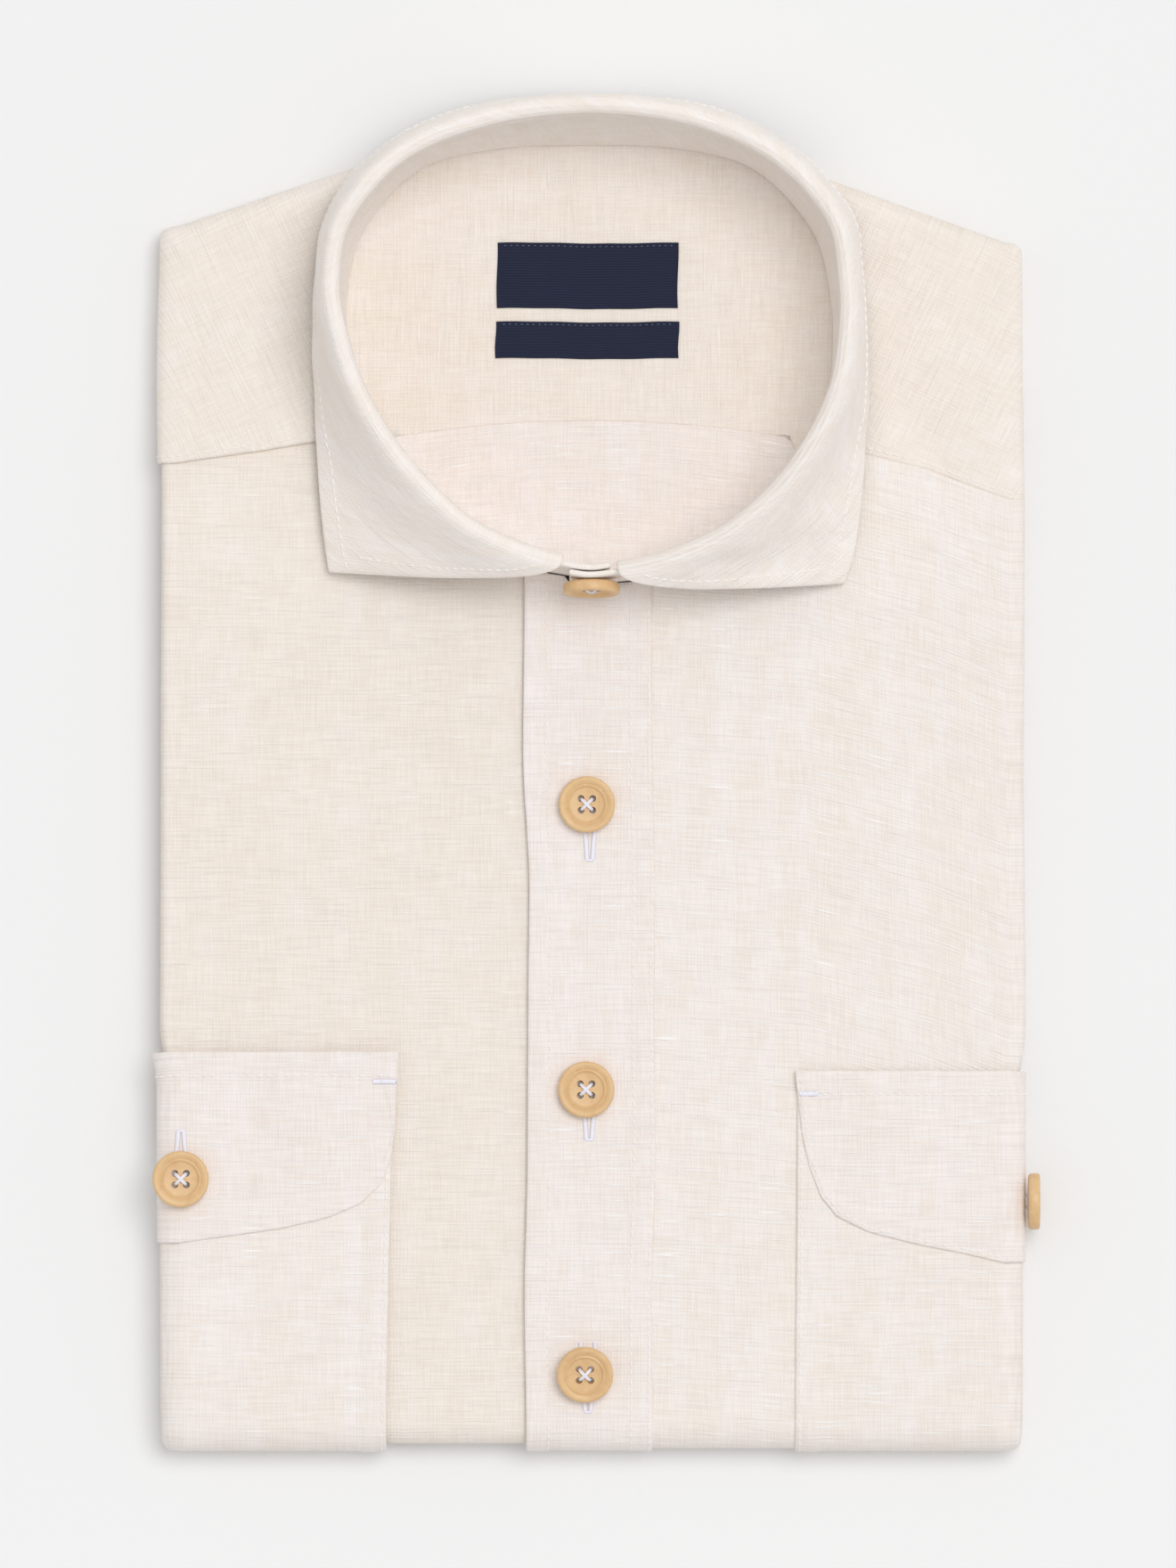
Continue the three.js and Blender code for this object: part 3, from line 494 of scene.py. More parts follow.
# The spacing of points in mm on the flat, round a side fold and underneath, and the length in mm of
# one step across on the flat and round a side fold
FLAT_STEP, FOLD_STEP, UNDER_STEP = 1.7, 0.7, 7.0
FLAT_UNIT, FOLD_UNIT = 112.0, 9.6


def fold_columns(wrap, inner, side):
    """Places across from a wrapped edge round a side fold and in to the inner place on the flat"""
    fold = stops(1 + wrap, 1.0, FOLD_STEP, FOLD_UNIT)[OPEN_END]
    flat = stops(1.0, inner, FLAT_STEP, FLAT_UNIT)[OPEN_START]
    return side * np.concatenate([fold, [1.0], flat])


def shoulder_fold(across):
    side = np.where(across < 0, -1.0, 1.0)
    return shoulder_axis(side * np.minimum(1, np.abs(across)) * flat_half(side, 150.0))


# How many layers show in half a side fold, and how far their edges stand out
LAYER_EDGES = (4.5, 0.28)


def hidden_layers():
    """The bundle itself, closed round the bottom fold and the shoulder fold, with its neck hollow"""
    half = np.concatenate([np.linspace(2, 1, 41), np.linspace(1, 0, 36)[1:]])
    columns = np.concatenate([-half, half[::-1][1:]])
    shares, levels = np.linspace(1, 0, 18), np.linspace(SETTLED, TURN_AXIS, 60)
    fold, turned = shoulder_fold(columns), np.pi * SHOULDER_TURN
    rows = [-mix(SETTLED, fold, share) for share in shares]
    rows += [-y for y in levels[1:]]
    rows += list(np.linspace(-TURN_AXIS, TAIL_START, 17)[1:-1])
    rows += [TAIL_START + y - TURN_AXIS for y in levels[::-1] if y <= TAIL_HEM]
    rows += [mix(SETTLED, fold, share) - 2 * fold - turned for share in shares[::-1]]
    rows += [-fold - arc for arc in np.linspace(turned, 0, 13)[1:-1]]
    grid = np.array([stack(columns, row) for row in rows])
    bend = np.abs(columns) - 1
    layered = np.where(bend > 0.45, LAYER_EDGES[1] * np.cos(2 * np.pi * LAYER_EDGES[0] * bend), 0)
    grid[..., 0] += np.sign(columns) * layered
    rows, wide = grid.shape[:2]
    index = np.arange(rows * wide).reshape(rows, wide)
    after = np.roll(index, -1, axis=0)
    faces = np.stack([index[:, :-1], index[:, 1:], after[:, 1:], after[:, :-1]], -1).reshape(-1, 4)
    own = np.stack([grid[..., 0], grid[..., 1]], -1).reshape(-1, 2)
    return make_piece("hidden_layers", grid.reshape(-1, 3), faces, own)


# Collar lines: the top of the stand, its foot and the lower edge of the turned-down collar, from
# the stand's right end round the back to its left end, which laps over
COLLAR_LINES = ("crest", "seam", "edge")
COLLAR = [
    ((5.5, 56.5, 40.8), (5.5, 54.5), (-70.3, 54.6, 18.6)),
    ((0, 55.9, 40.8), (0, 53.9), (-70.3, 54.6, 18.6)),
    ((-7.5, 57.0, 41.0), (-7.5, 54.6), (-70.3, 54.6, 18.6)),
    ((-20.5, 60.8, 41.4), (-20.3, 57.4), (-71.3, 61.5, 18.6)),
    ((-35.6, 68.8, 42.0), (-35.2, 64.8), (-72.6, 74.5, 18.4)),
    ((-51.2, 84.8, 43.0), (-50.3, 80), (-73.4, 90, 17.8)),
    ((-62, 102, 44.0), (-60.5, 97), (-73.6, 104.5, 17.0)),
    ((-67.4, 117.5, 44.8), (-65, 113), (-73.6, 119, 15.8)),
    ((-69.8, 133, 45.2), (-66, 129), (-73.4, 134, 14.8)),
    ((-66, 150.5, 45.2), (-61.5, 147), (-69.4, 153, 14.2)),
    ((-50.5, 167.5, 44.8), (-46.5, 163.5), (-53, 170.5, 13.4)),
    ((-27, 177, 44.0), (-25, 169.3), (-28, 180.4, 7)),
    ((0, 180.2, 43.6), (0, 170.3), (0, 182.1, 4.6)),
    ((27.5, 177, 44.0), (25, 169.3), (28.5, 180.2, 7)),
    ((50, 167, 44.8), (45, 163.5), (52.5, 169.8, 13.4)),
    ((65.5, 150.5, 45.2), (60.5, 147), (69, 152.5, 14.2)),
    ((69.3, 133, 45.2), (65.5, 129), (73, 133.5, 14.8)),
    ((69.1, 116.5, 44.8), (66, 112.5), (74.2, 117, 15.8)),
    ((65.6, 100.5, 44.0), (63.5, 96), (74.4, 102, 17.0)),
    ((54.8, 81.5, 43.0), (53, 77.5), (73.8, 88, 17.8)),
    ((38.8, 66.2, 42.0), (38, 62.2), (72.8, 72, 18.4)),
    ((20.8, 57.8, 41.4), (20.6, 54.4), (71.2, 60, 18.6)),
    ((7.5, 54.9, 41.0), (7.5, 52.6), (68.6, 51.6, 18.6)),
    ((0, 54.0, 40.8), (0, 52.0), (68.6, 51.6, 18.6)),
    ((-5.5, 54.7, 40.8), (-5.5, 52.7), (68.6, 51.6, 18.6)),
]
LAST = len(COLLAR) - 1
STAND_CLOTH, COLLAR_CLOTH, LAP = 1.5, 1.6, 1.9
NECK_FLOOR = 7.6
NECK_MIDDLE = np.array([0.0, 118.0])


def seam_level(y):
    return mix(15.2, 9.3, smooth((y - 50) / 115))


def on_curve(key, station):
    """A point of a collar line, on one smooth curve through the table's rows"""
    rows = np.array([row[COLLAR_LINES.index(key)] for row in COLLAR], float)
    if key == "seam":
        rows = np.column_stack([rows, seam_level(rows[:, 1])])
    ends = np.vstack([2 * rows[0] - rows[1], rows, 2 * rows[-1] - rows[-2]])
    station = np.clip(np.asarray(station, float), 0, LAST)
    row = np.clip(np.floor(station).astype(int), 0, LAST - 1)
    t = (station - row)[..., None]
    before, start, end, after = (ends[row + k] for k in range(4))
    first, second = (end - before) / 2, (after - start) / 2
    return (
        start + first * t
        + (3 * (end - start) - 2 * first - second) * t**2
        + (2 * (start - end) + first + second) * t**3
    )


def outward(key, station):
    """The level direction out from the neck at a place on a collar line"""
    ahead = on_curve(key, np.add(station, 0.05)) - on_curve(key, np.subtract(station, 0.05))
    out = unit(np.stack([ahead[..., 1], -ahead[..., 0], np.zeros_like(ahead[..., 0])], -1))
    away = on_curve(key, station)[..., :2] - NECK_MIDDLE
    return out * np.where((out[..., :2] * away).sum(-1) < 0, -1, 1)[..., None]


def cut_away(piece, cutter):
    """Cuts a cutter's shape out of a piece, and removes the cutter"""
    cut = piece.modifiers.new("cut", "BOOLEAN")
    cut.operation, cut.object, cut.solver = "DIFFERENCE", cutter, "EXACT"
    bpy.context.view_layer.objects.active = piece
    bpy.ops.object.modifier_apply(modifier="cut")
    bpy.data.objects.remove(cutter)


def cut_neck(piece):
    """Cuts the neck hole through a piece, with room for the stand and for its lapped end"""
    station = np.arange(1, LAST - 1, 0.1)
    lap = LAP * (1 - smooth((station - 1.7) / 0.22))
    clear = STAND_CLOTH / 2 + 0.1
    line = on_curve("seam", station) + outward("seam", station) * (clear + lap)[:, None]
    count = len(line)
    low, high = line.copy(), line.copy()
    low[:, 2], high[:, 2] = NECK_FLOOR, 70
    walls = [[i, (i + 1) % count, count + (i + 1) % count, count + i] for i in range(count)]
    faces = walls + [list(range(count))[::-1], list(range(count, 2 * count))]
    cutter = make_piece("neck_cutter", np.vstack([low, high]), faces)
    cutter.data.shade_flat()
    cut_away(piece, cutter)
    return piece


bundle = cut_neck(hidden_layers())
# The bundle has the darker copy of the linen, whose tone is partly painted shade.
bundle.data.materials.append(LINEN_SHADED)
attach(bundle, "root")
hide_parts("folded_layers")

# Fronts
# Two panels of single linen from the yoke seam down over the bottom fold to the tail's hem. They
# meet under the placket. Each wraps round its side fold, where the rest of it is turned in.
# Known fault: the right panel's facing is wrong, so it lies just inside the bundle and doesn't show.

FRONT_WRAP, FRONTS_MEET = 0.66, -4.0
YOKE_SEAM = {"x": [-117, -87, -58, 0, 58, 90.7, 117], "y": [83.3, 87.5, 92.5, 94, 90.5, 82.1, 72.5]}


def seam_below_yoke(across):
    side = np.where(across < 0, -1.0, 1.0)
    x = side * np.minimum(1, np.abs(across)) * flat_half(side, 80.0)
    return straight(YOKE_SEAM, "x", x, "y")


def down_the_front(start, end=None):
    """Places along, from a start on the top, round the bottom fold and on to the tail's hem"""
    end = TAIL_START + TAIL_HEM - TURN_AXIS if end is None else end
    top = stops(start, -TURN_AXIS, FLAT_STEP)[OPEN_END]
    turn = np.linspace(-TURN_AXIS, TAIL_START, 21)
    tail = stops(TAIL_START, end, UNDER_STEP)[OPEN_START]
    return np.concatenate([top, turn, tail])


def pucker(off, run, depth, seed):
    """The dip along a row of stitches, and the small uneven puckers beside it"""
    waves = np.sin(run * 2 * np.pi / 6.1 + seed) + 0.7 * np.sin(run * 2 * np.pi / 9.3 + 2.3 * seed)
    return -depth * np.exp(-(off / 0.7) ** 2) + 0.45 * depth * np.exp(-(off / 2.6) ** 2) * waves


def front(name, side):
    start = -TAIL_HEM

    def place(across, along):
        share = np.clip((along - start) / 60, 0, 1)
        shift = (-seam_below_yoke(across) - 0.3 - start) * (1 - share)
        return stack(across, along + shift)

    inner = abs((FRONTS_MEET + side * GAP / 2) / flat_half(side, 0.0))
    columns = fold_columns(FRONT_WRAP, side * np.sign(FRONTS_MEET) * inner, side)
    return cloth_shell(name, place, columns, down_the_front(start), ON_STACK, -side)


for name, side in (("front_right", -1), ("front_left", 1)):
    panel = cut_neck(front(name + "_panel", side))
    fit_cloth(panel, name, LINEN_BODY)

# Yoke
# A doubled shoulder piece over both shoulder folds, topstitched down on to the fronts. Its grain
# slants at the shoulders, because it is cut straight across the back.

YOKE_WRAP, YOKE_UNDER, YOKE_LONG, YOKE_ROW = 0.66, 104.0, 150.0, 1.8
YOKE_SLANT = math.radians(25)
STITCH_PITCH, STITCH_LONG, THREAD_THICK = 2.5, 1.8, 0.42
# A stitch's rings along its length, and how thick and how high each is
STITCH_RINGS = {
    "at": [0, 0.15, 0.5, 0.85, 1],
    "thick": [0.4, 0.9, 1, 0.9, 0.4],
    "high": [-0.35, 0.12, 0.28, 0.12, -0.35],
}
RING_SIDES = 6


def sewing_thread(name, low, high):
    """Spun polyester sewing thread, faintly glossy"""
    finish, tree, shader = new_finish(name, Roughness=0.55, Sheen_Weight=0.1)
    place = add_node(tree, "ShaderNodeTexCoord")["Object"]
    fibres = add_node(tree, "ShaderNodeTexNoise", {"Vector": place, "Scale": 2600.0, "Detail": 1.0})["Fac"]
    tint(tree, shader, fibres, low, high)
    return finish


THREAD = sewing_thread("cream polyester sewing thread", "#f4eeea", "#fffbf8")
SATIN_THREAD = sewing_thread("white polyester buttonhole thread", "#e8e6f3", "#f6f4fb")


def surface(piece):
    """A piece's faces in mm, for finding the places on it"""
    points = [vertex.co / MM for vertex in piece.data.vertices]
    return BVHTree.FromPolygons(points, [face.vertices[:] for face in piece.data.polygons])


def tube(centres, normals, wide, high):
    """The points and faces of a closed tube through its centres, with elliptical rings"""
    across = unit(np.cross(normals, np.gradient(centres, axis=0)))
    turns = np.linspace(0, 2 * np.pi, RING_SIDES, endpoint=False)
    rings = (
        centres[:, None]
        + np.cos(turns)[None, :, None] * across[:, None] * np.reshape(wide, (-1, 1, 1)) / 2
        + np.sin(turns)[None, :, None] * normals[:, None] * np.reshape(high, (-1, 1, 1)) / 2
    )
    index = np.arange(len(centres) * RING_SIDES).reshape(-1, RING_SIDES)
    after = np.roll(index, -1, axis=1)
    faces = np.stack([index[:-1], after[:-1], after[1:], index[1:]], -1).reshape(-1, 4)
    caps = [[ring[0], ring[1], ring[2], ring[3]] for ring in (index[0][::-1], index[-1])]
    caps += [[ring[0], ring[3], ring[4], ring[5]] for ring in (index[0][::-1], index[-1])]
    return rings.reshape(-1, 3), np.concatenate([faces, caps])


def along_path(path, places):
    """Points of a path at the given lengths from its start"""
    run = np.concatenate([[0], np.cumsum(np.linalg.norm(np.diff(path, axis=0), axis=1))])
    return np.stack([np.interp(places, run, path[:, k]) for k in range(3)], -1)


def path_length(path):
    return float(np.linalg.norm(np.diff(path, axis=0), axis=1).sum())


def settled_on(cloth, spots, reach=1.2):
    """The nearest points and normals of a surface, or nothing where it is further off than reach"""
    found = [cloth.find_nearest(Vector(spot)) for spot in spots]
    if any(hit[0] is None or hit[3] > reach for hit in found):
        return None
    return np.array([hit[0] for hit in found]), np.array([hit[1] for hit in found])


def stitches(path, cloth, pitch=STITCH_PITCH, long=STITCH_LONG, thick=THREAD_THICK):
    """One row of stitches along a path on a surface, each a bead that dips in at both ends"""
    tubes = []
    rings = {key: np.array(row) for key, row in STITCH_RINGS.items()}
    for start in np.arange(pitch / 2, path_length(path) - long, pitch):
        found = settled_on(cloth, along_path(path, start + rings["at"] * long))
        if found is not None:
            points, normals = found
            centres = points + normals * (rings["high"] * thick)[:, None]
            tubes.append(tube(centres, normals, rings["thick"] * thick, rings["thick"] * thick))
    return tubes


def row_on(cloth, place, us, vs, facing, lift):
    """A row of stitches on a piece, over places on the surface that the piece was made from"""
    points, normals = facing_out(place, *np.broadcast_arrays(us, vs), facing)
    return stitches(points + normals * lift, cloth)


def satin(path, cloth, wide, high=0.45, pitch=0.42):
    """A bar of close satin stitches over a path on a surface"""
    places = np.arange(0, path_length(path), pitch / 3)
    points, normals = settled_on(cloth, along_path(path, places), 8.0)
    ends = np.clip(np.minimum(np.arange(len(places)), np.arange(len(places))[::-1]) / 2, 0.25, 1)
    ripple = (1 + 0.1 * np.cos(2 * np.pi * places / pitch)) * ends
    return [tube(points + normals * high * 0.2, normals, wide * ripple, high * ripple)]


def sew(name, tubes, finish):
    """One thread piece from rows of stitches"""
    points, faces, count = [], [], 0
    for ring_points, ring_faces in tubes:
        points.append(ring_points)
        faces.append(ring_faces + count)
        count += len(ring_points)
    points = np.concatenate(points)
    points[:, 2] = np.maximum(points[:, 2], 0)
    thread = make_piece(name, points, np.concatenate(faces))
    thread.data.materials.append(finish)
    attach(thread, "root")
    return thread


def inset_path(place, us, vs, distance, height, facing):
    """A path over a surface, a distance to the left of the line through its places"""
    points, normals = facing_out(place, us, vs, facing)
    across = unit(np.cross(normals, np.gradient(points, axis=0)))
    return points + normals * height + across * distance


def yoke_end(across):
    """Where the yoke's edge lies underneath, back over the shoulder fold"""
    return YOKE_UNDER - 2 * shoulder_fold(across) - np.pi * SHOULDER_TURN


def yoke_place(across, v):
    return stack(across, mix(-seam_below_yoke(across), yoke_end(across), v))


def yoke():
    def relief(edges, points):
        off_fold = smooth((np.minimum(edges["start"], edges["end"]) - 5) / 9)
        band = 0.3 * smooth((8.0 - edges["top"]) / 1.5)
        return off_fold * (band + pucker(edges["top"] - YOKE_ROW, points[..., 0], 0.2, 1.3))

    def grain(points, edges):
        lean = np.tanh(points[..., 0] / 15)
        turn = YOKE_SLANT * lean
        x, y = points[..., 0] - 90 * lean, points[..., 1] - 110
        return np.stack([x * np.sin(turn) + y * np.cos(turn), x * np.cos(turn) - y * np.sin(turn)], -1)

    columns = fold_columns(YOKE_WRAP, 0.0, -1)[OPEN_END]
    columns = np.concatenate([columns, [0.0], -columns[::-1]])
    rows = stops(0, 1, FLAT_STEP, YOKE_LONG)
    return cloth_shell("yoke_panel", yoke_place, columns, rows, ON_STACK, 1, relief, grain)


yoke_cloth = cut_neck(yoke())
across = np.linspace(-1 - YOKE_WRAP, 1 + YOKE_WRAP, 240)
yoke_depth = np.abs(yoke_end(across) + seam_below_yoke(across))
yoke_row = row_on(surface(yoke_cloth), yoke_place, across, YOKE_ROW / yoke_depth, 1, ON_STACK[1])
yoke_thread = sew("yoke_stitches", yoke_row, THREAD)
# The yoke has the darker copy of the linen, whose tone is partly painted shade.
fit_cloth(yoke_cloth, "yoke", LINEN_SHADED)

# Placket
# A strip of doubled linen, sewn to the left front and lapped over the right one, with a loose
# right edge. Rows of stitches run 6 mm in from each edge, and one more along the left edge.

PLACKET_TOP = 57.0
PLACKET_EDGES = {
    "y": [-183, -140, -102, -61, -31, 7, 52],
    "right": [-17.1, -17.6, -16.8, -16.6, -16.3, -18.0, -17.6],
    "left": [16.9, 16.7, 17.7, 17.3, 17.5, 16.8, 16.6],
}
PLACKET_WIDE, PLACKET_LIFT = 34.3, 2.2
PLACKET_ROWS = {"loose": 6.0, "inner": 5.8, "sewn": 0.9}


def placket_place(u, along):
    y = np.where(along < -TURN_AXIS, -along, TURN_AXIS)
    x = mix(eased(PLACKET_EDGES, "y", y, "right"), eased(PLACKET_EDGES, "y", y, "left"), u)
    points = stack(x / flat_half(1, 0.0), along)
    points[..., 0] = x
    return points


def placket_relief(edges, points):
    run = points[..., 1]
    band = 0.2 * smooth((7 - edges["start"]) / 1.2) + 0.16 * smooth((6.8 - edges["end"]) / 1.2)
    rows = pucker(edges["start"] - PLACKET_ROWS["loose"], run, 0.16, 0.4)
    rows = rows + pucker(edges["end"] - PLACKET_ROWS["inner"], run, 0.16, 2.1)
    rows = rows + pucker(edges["end"] - PLACKET_ROWS["sewn"], run, 0.12, 3.3)
    return (band + rows) * on_underside(points)


# How far each buttonhole runs above and below its button's middle
BUTTONHOLES = {
    "button_front_1": (1.5, -15.0), "button_front_2": (1.5, -13.5), "button_front_3": (9.0, -10.0),
}
BUTTONHOLE_HALF, SATIN_WIDE = {"open": 1.9, "closed": 0.8}, 1.3
BUTTONHOLE_POINTS = 24


def box_middle(node):
    low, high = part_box(node)
    return (low + high) / 2 / MM


def buttonhole(cloth, x, high, low, level):
    """Two legs of satin stitches that draw together at the low end, and a bar across it"""
    heights = np.linspace(high, low, BUTTONHOLE_POINTS)
    half = mix(BUTTONHOLE_HALF["open"], BUTTONHOLE_HALF["closed"], smooth((high - heights) / (high - low)))
    legs = [np.stack([x + side * half, heights, np.full(BUTTONHOLE_POINTS, level)], -1) for side in (-1, 1)]
    bar = np.array([[x - half[-1] - 0.4, low, level], [x + half[-1] + 0.4, low, level]])
    return satin(legs[0], cloth, SATIN_WIDE) + satin(legs[1], cloth, SATIN_WIDE) + satin(bar, cloth, 0.9)


placket = cloth_shell(
    "placket_strip", placket_place, stops(0, 1, 1.1, 34.0), down_the_front(-PLACKET_TOP),
    pressed(ON_FRONT, 0.8, 0.85, 0.26), -1, placket_relief,
)
cut_neck(placket)
rows = np.linspace(-PLACKET_TOP + 1, TAIL_START + TAIL_HEM - TURN_AXIS - 1, 700)
placket_top = surface(placket)
placket_sewing = []
for row, inset in PLACKET_ROWS.items():
    share = inset / PLACKET_WIDE if row == "loose" else 1 - inset / PLACKET_WIDE
    placket_sewing += row_on(placket_top, placket_place, share, rows, -1, PLACKET_LIFT)
placket_holes = []
for node, (above, below) in BUTTONHOLES.items():
    middle = box_middle(node)
    ends = (middle.y + above, middle.y + below)
    placket_holes += buttonhole(placket_top, middle.x + 0.8, *ends, middle.z - 1)
placket_thread = sew("placket_stitches", placket_sewing, THREAD)
placket_satin = sew("placket_buttonholes", placket_holes, SATIN_THREAD)
fit_cloth(
    placket, "placket", LINEN_DOUBLED,
)

# Patch pockets and flaps
# Square-cut pockets sewn on round their side folds, each with a doubled flap above it. A flap has
# one rounded corner, rows of stitches along its edges and a bar tack at the end of its seam.

POCKET_WRAP, FLAP_WRAP = 0.6, 0.58
POCKET_LENGTH, POCKET_WIDE = 190.0, 57.0
POCKET_LIFT, FLAP_LIFT = 2.3, 3.6
POCKET_EDGE = {"right": (53.2, 54.8), "left": (55.8, 55.3)}
FLAP_SEAM = {"right": -74.4, "left": -79.5}
FLAP_EDGE = {
    "right": {
        "seam": [51.2, 51.9, 54, 59, 68, 82, 98, 110],
        "hem": [52.4, 53.4, 56.2, 61.5, 70, 83, 98.4, 110],
        "drop": [21, 29, 36, 41, 44.7, 47.8, 50, 51.6],
    },
    "left": {
        "seam": [54.8, 55.8, 58.4, 63, 72, 86, 99, 110],
        "hem": [57, 58.8, 61.8, 66.2, 74.5, 88, 100, 110],
        "drop": [18, 26, 34, 39.4, 43.5, 47, 49.4, 51.8],
    },
}
POCKET_SEW, POCKET_BAND = 1.3, 7.0
FLAP_SEW, FLAP_BAND, FLAP_ROW = 1.3, 6.4, 6.6
WRAP_STEPS = 6
BAR_TACKS = {"right": [(-58.6, -82.5), (-51.8, -82.5)], "left": [(56.2, -85.8), (61.9, -85.8)]}


def side_name(side):
    return "right" if side < 0 else "left"


def pocket_place(side):
    """The pocket's surface: u is 0 at its inner edge and 1 where the fold starts"""
    start = -FLAP_SEAM[side_name(side)] + 6
    edge_high, edge_low = POCKET_EDGE[side_name(side)]

    def place(u, along):
        edge = mix(edge_high, edge_low, smooth((along - start) / 100))
        inner = edge / flat_half(side, -np.minimum(along, -TURN_AXIS))
        return stack(side * np.where(u >= 1, u, mix(inner, 1, u)), along)

    return place, start


def pocket_relief(edges, points):
    near = edges["start"]
    ridge = 0.3 * smooth((POCKET_BAND - near) / 1.0)
    return (ridge + pucker(near - POCKET_SEW, points[..., 1], 0.16, 0.9)) * on_underside(points)


def flap_place(side):
    """The flap's surface: u counts the table's rows, then the steps round the fold"""
    table = {key: np.array(row, float) for key, row in FLAP_EDGE[side_name(side)].items()}
    last = len(table["seam"]) - 1
    limit = table["hem"][-1]

    def place(u, v):
        rows = np.arange(last + 1)
        seam, hem = np.interp(u, rows, table["seam"]), np.interp(u, rows, table["hem"])
        drop = np.interp(u, rows, table["drop"])
        along = -FLAP_SEAM[side_name(side)] + v * drop
        flat = flat_half(side, -along)
        straight_x = mix(seam, hem, v)
        x = mix(straight_x, straight_x / limit * flat, seam / limit)
        return stack(side * np.where(u > last, 1 + (u - last) / WRAP_STEPS * FLAP_WRAP, x / flat), along)

    return place, last


def flap_relief(edges, points):
    free = np.minimum(edges["start"], edges["hem"])
    band = 0.26 * smooth((FLAP_BAND - free) / 1.0)
    top = 0.3 * smooth((FLAP_ROW + 0.4 - edges["top"]) / 0.9)
    run = points[..., 0] + points[..., 1]
    rows = pucker(free - FLAP_SEW, run, 0.18, 1.7)
    rows = rows + pucker(edges["top"] - FLAP_ROW, points[..., 0], 0.2, 0.2)
    return (np.maximum(band, top) + rows) * smooth((edges["end"] - 3) / 8)


for side in (-1, 1):
    name = side_name(side)
    place, start = pocket_place(side)
    fold = stops(1, 1 + POCKET_WRAP, FOLD_STEP, FOLD_UNIT)[OPEN_START]
    columns = np.concatenate([stops(0, 1, 1.4, 58.0)[OPEN_END], [1.0], fold])
    rows = down_the_front(start, start + POCKET_LENGTH)
    pocket = cloth_shell(
        f"pocket_{name}_patch", place, columns, rows, pressed(ON_FRONT, 0.45, 0.7, 0.26), -side,
        pocket_relief,
    )
    rows = np.linspace(start + 1, start + POCKET_LENGTH - 1, 500)
    row = row_on(surface(pocket), place, POCKET_SEW / POCKET_WIDE, rows, -side, POCKET_LIFT)
    thread = sew(f"pocket_{name}_stitches", row, THREAD)
    fit_cloth(
        pocket, f"pocket_{name}", LINEN_BODY
    )
    place, last = flap_place(side)
    rounds = np.concatenate([[0, 0.02, 0.06], np.linspace(0.12, last, 64)])
    fold = last + stops(0, 1, FOLD_STEP, FOLD_UNIT * FLAP_WRAP)[OPEN_START] * WRAP_STEPS
    columns = np.concatenate([rounds, [last + 0.5], fold[fold > last + 0.6]])
    flap = cloth_shell(
        f"flap_{name}_cloth", place, columns, stops(0, 1, 1.3, 46.0),
        pressed(ON_POCKET, 1.3, 1.3, 0.62), -side, flap_relief,
    )
    flap_top = surface(flap)
    us = np.concatenate([np.zeros(40), np.linspace(0, last + WRAP_STEPS * 0.96, 260)[1:]])
    vs = np.concatenate([np.linspace(0.04, 1, 40), np.ones(259)])
    edge = inset_path(place, us, vs, FLAP_SEW, FLAP_LIFT, -side)
    across = np.linspace(0.1, last + WRAP_STEPS * 0.96, 200)
    drop = np.interp(across, np.arange(last + 1), FLAP_EDGE[name]["drop"])
    sewing = stitches(edge, flap_top)
    sewing += row_on(flap_top, place, across, FLAP_ROW / drop, -side, FLAP_LIFT)
    tack = np.array(BAR_TACKS[name], float)
    tack = np.column_stack([tack, [TOP_LEVEL + 4, TOP_LEVEL + 4]])
    tacks = satin(tack, flap_top, 1.5, 0.5)
    if side < 0:
        middle = box_middle("button_pocket_right")
        tacks += buttonhole(flap_top, middle.x, middle.y - 1, middle.y + 13, middle.z - 1)
    sewn = [sew(f"flap_{name}_stitches", sewing, THREAD), sew(f"flap_{name}_tacks", tacks, SATIN_THREAD)]
    fit_cloth(
        flap, f"flap_{name}", LINEN_DOUBLED
    )

# Inside the neck
# The yoke's lining, the inside of the back below its seam, and two woven labels stitched on to the
# lining along their top edges. The labels are bare navy.

LINING_Y = {"middle": 95.5, "side": 90.5, "at": 56.0}
SEAM_ENDS = (6.45, 18.75)
NECK_INSET = -0.3
RIM = 15.0


def lining_seam(x):
    return mix(LINING_Y["middle"], LINING_Y["side"], (x / LINING_Y["at"]) ** 2)


def neck_edge(station):
    return (on_curve("seam", station) - outward("seam", station) * NECK_INSET)[..., :2]


def inside_place(part):
    """Between the lining's seam and the neck: u runs along the seam and v out to the stand's foot"""
    left_end, right_end = (neck_edge(np.array(end)) for end in SEAM_ENDS)

    def place(u, v):
        if part == "lining":
            border = neck_edge(mix(SEAM_ENDS[0], SEAM_ENDS[1], u))
        else:
            from_left = neck_edge(mix(SEAM_ENDS[0], 1.0, np.clip(2 * u, 0, 1)))
            from_right = neck_edge(mix(LAST - 1.0, SEAM_ENDS[1], np.clip(2 * u - 1, 0, 1)))
            border = np.where((u < 0.5)[..., None], from_left, from_right)
        x = mix(left_end[0], right_end[0], u)
        gap = -0.1 if part == "lining" else 0.1
        seam = np.stack([x, lining_seam(x) + gap], -1)
        flat = mix(seam, border, v[..., None])
        off = np.linalg.norm(border - flat, axis=-1)
        floor = NECK_FLOOR + GAP
        rise = np.maximum(0, seam_level(flat[..., 1]) - 0.2 - floor - PANEL)
        return np.concatenate([flat, (floor + rise * smooth(1 - off / RIM) ** 2)[..., None]], -1)

    return place


